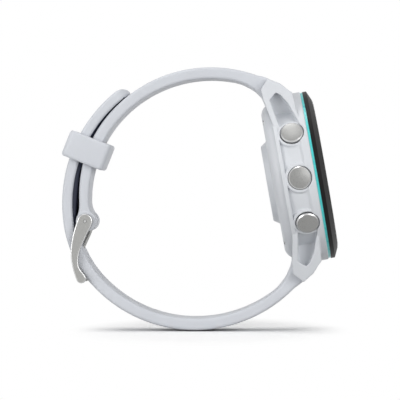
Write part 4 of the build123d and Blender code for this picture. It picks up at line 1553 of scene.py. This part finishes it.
@dataclass
class PartingBand:
    """Thin band under the groove between the case and its back cover."""

    place: float = 4.3
    radius: float = 20.46
    half: float = 0.5
    thickness: float = 0.8

    def build(self, polymer: Material) -> Piece:
        """Build the band, a ring with rounded outer edges about the watch's middle."""
        inner = self.radius - self.thickness
        profile = band_profile(-self.half, self.half, inner, self.radius, 0.1)
        grid = lathe(profile, self.place * OUT_OF_WRIST, OUT_OF_WRIST, 180)
        band = Shell("parting_band").patch(grid, wrap=True).build([polymer], 30.0)
        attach(band, "watch")
        return band


# ---- The watch --------------------------------------------------------------------------
class Dress(Enum):
    """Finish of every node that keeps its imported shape."""

    CASE = SoftPolymer("case_polymer", (0.645, 0.665, 0.695), 0.45)
    SILICONE = SoftPolymer("white_silicone", (0.605, 0.625, 0.665), 0.5, sheen=0.1)
    ACCENT = GlossyCoat("accent_band", (0.07, 0.62, 0.62), 0.3)
    BEZEL = SoftPolymer("black_resin", (0.006, 0.006, 0.006), 0.5, gloss=0.15)
    GLASS = ClearGlass("cover_glass", (0.97, 0.98, 1.0))
    PANEL = GlossyCoat("dark_panel", (0.006, 0.007, 0.01), 0.1)
    BUTTON = SatinMetal("button_aluminium", (0.28, 0.28, 0.275), 0.3, FINE_LINES, FINE_GROOVE)
    STEEL = SatinMetal("satin_steel", (0.35, 0.35, 0.34), 0.33, FINE_LINES, FINE_GROOVE)
    BRIGHT = SatinMetal("polished_rim", (0.54, 0.54, 0.54), 0.3, (400.0, 400.0, 400.0), groove=0.0)
    # Near-black navy for the rib in the gap between the straps: painted shade for the deep shadow
    # there.
    GAP_SHADE = SoftPolymer("painted_gap_shade", (0.008, 0.012, 0.030), 0.6)
    BLACK = SoftPolymer("black_plastic", (0.02, 0.02, 0.022), 0.5)
    RUBBER = SoftPolymer("seal_rubber", (0.015, 0.015, 0.015), 0.7)
    BOARD = GlossyCoat("circuit_board", (0.01, 0.10, 0.05), 0.3, 0.3)
    SHIELD = SatinMetal("pressed_sheet", (0.6, 0.6, 0.6), 0.35)
    GOLD = SatinMetal("gold_plate", (0.83, 0.62, 0.25), 0.2)
    LED = GlossyCoat("led_resin", (0.65, 0.78, 0.55), 0.15, 0.5)


NODE_DRESS: dict[str, Dress] = {
    "case_housing": Dress.CASE,
    "back_cover": Dress.CASE,
    "accent_ring": Dress.ACCENT,
    "bezel": Dress.BEZEL,
    "lens": Dress.GLASS,
    "display_panel": Dress.PANEL,
    "sensor_window": Dress.PANEL,
    "mid_frame": Dress.BLACK,
    "buzzer": Dress.BLACK,
    "sensor_photodiodes": Dress.BLACK,
    "main_board": Dress.BOARD,
    "sensor_board": Dress.BOARD,
    "processor_shield": Dress.SHIELD,
    "vibration_motor": Dress.SHIELD,
    "battery": Dress.SHIELD,
    "gps_antenna": Dress.GOLD,
    "charging_contacts": Dress.GOLD,
    "sensor_leds": Dress.LED,
    "lens_gasket": Dress.RUBBER,
    "cover_gasket": Dress.RUBBER,
    "cover_screws": Dress.STEEL,
    "buckle_spring_bar": Dress.BRIGHT,
    "buckle_strap": Dress.SILICONE,
    "tail_strap": Dress.SILICONE,
    "keeper": Dress.SILICONE,
}
NODE_ENDINGS: dict[str, Dress] = {
    "_cap": Dress.BUTTON,
    "_seal": Dress.RUBBER,
    "_clip": Dress.STEEL,
    "_switch": Dress.BLACK,
}


def dress_nodes() -> dict[Dress, Material]:
    """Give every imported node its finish.

    Returns:
        The material of each finish.
    """
    built = {dress: dress.value.material() for dress in Dress}
    for name, node in frame["nodes"].items():
        ending = next((d for end, d in NODE_ENDINGS.items() if name.endswith(end)), Dress.STEEL)
        material = built[NODE_DRESS.get(name, ending)]
        node.data.materials.clear()
        node.data.materials.append(material)
    return built


def main() -> None:
    """Build the studio and the watch's pieces in order."""
    logging.basicConfig(level=logging.INFO, format="%(name)s: %(message)s")
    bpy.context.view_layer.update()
    Studio().build()
    log.info("studio built")
    built = dress_nodes()
    log.info("nodes dressed")
    silicone, steel, bright = built[Dress.SILICONE], built[Dress.STEEL], built[Dress.BRIGHT]
    straps = StrapLoop()
    straps.buckle_strap(silicone)
    straps.tail_strap(silicone)
    straps.barrel_ends(silicone)
    # The dark rib in the gap between the straps is painted shade.
    straps.shade_rib(built[Dress.GAP_SHADE])
    log.info("straps built")
    Keeper(straps).build(silicone)
    buckle = Buckle(straps.pin)
    buckle.build(steel, bright)
    buckle.tongue(steel)
    for side, name in ((1, "upper_release"), (-1, "lower_release")):
        ReleasePin(side, name).build(steel)
    log.info("keeper and buckle built")
    for name, angle, side in (
        ("light_button", 32.5, -1), ("up_button", 0.0, -1), ("down_button", -32.5, -1),
        ("start_button", 32.5, 1), ("back_button", -32.5, 1),
    ):
        button = Button(name, angle, side)
        button.build(built[Dress.BUTTON], bright)
        if name == "up_button":
            button.collar(built[Dress.CASE])
    log.info("buttons built")
    Moulding("case_housing").build(built[Dress.CASE], "white_polymer")
    Moulding("back_cover").build(built[Dress.CASE], "white_polymer")
    PartingBand().build(built[Dress.CASE])
    log.info("case mouldings built")


if __name__ == "__main__":
    main()
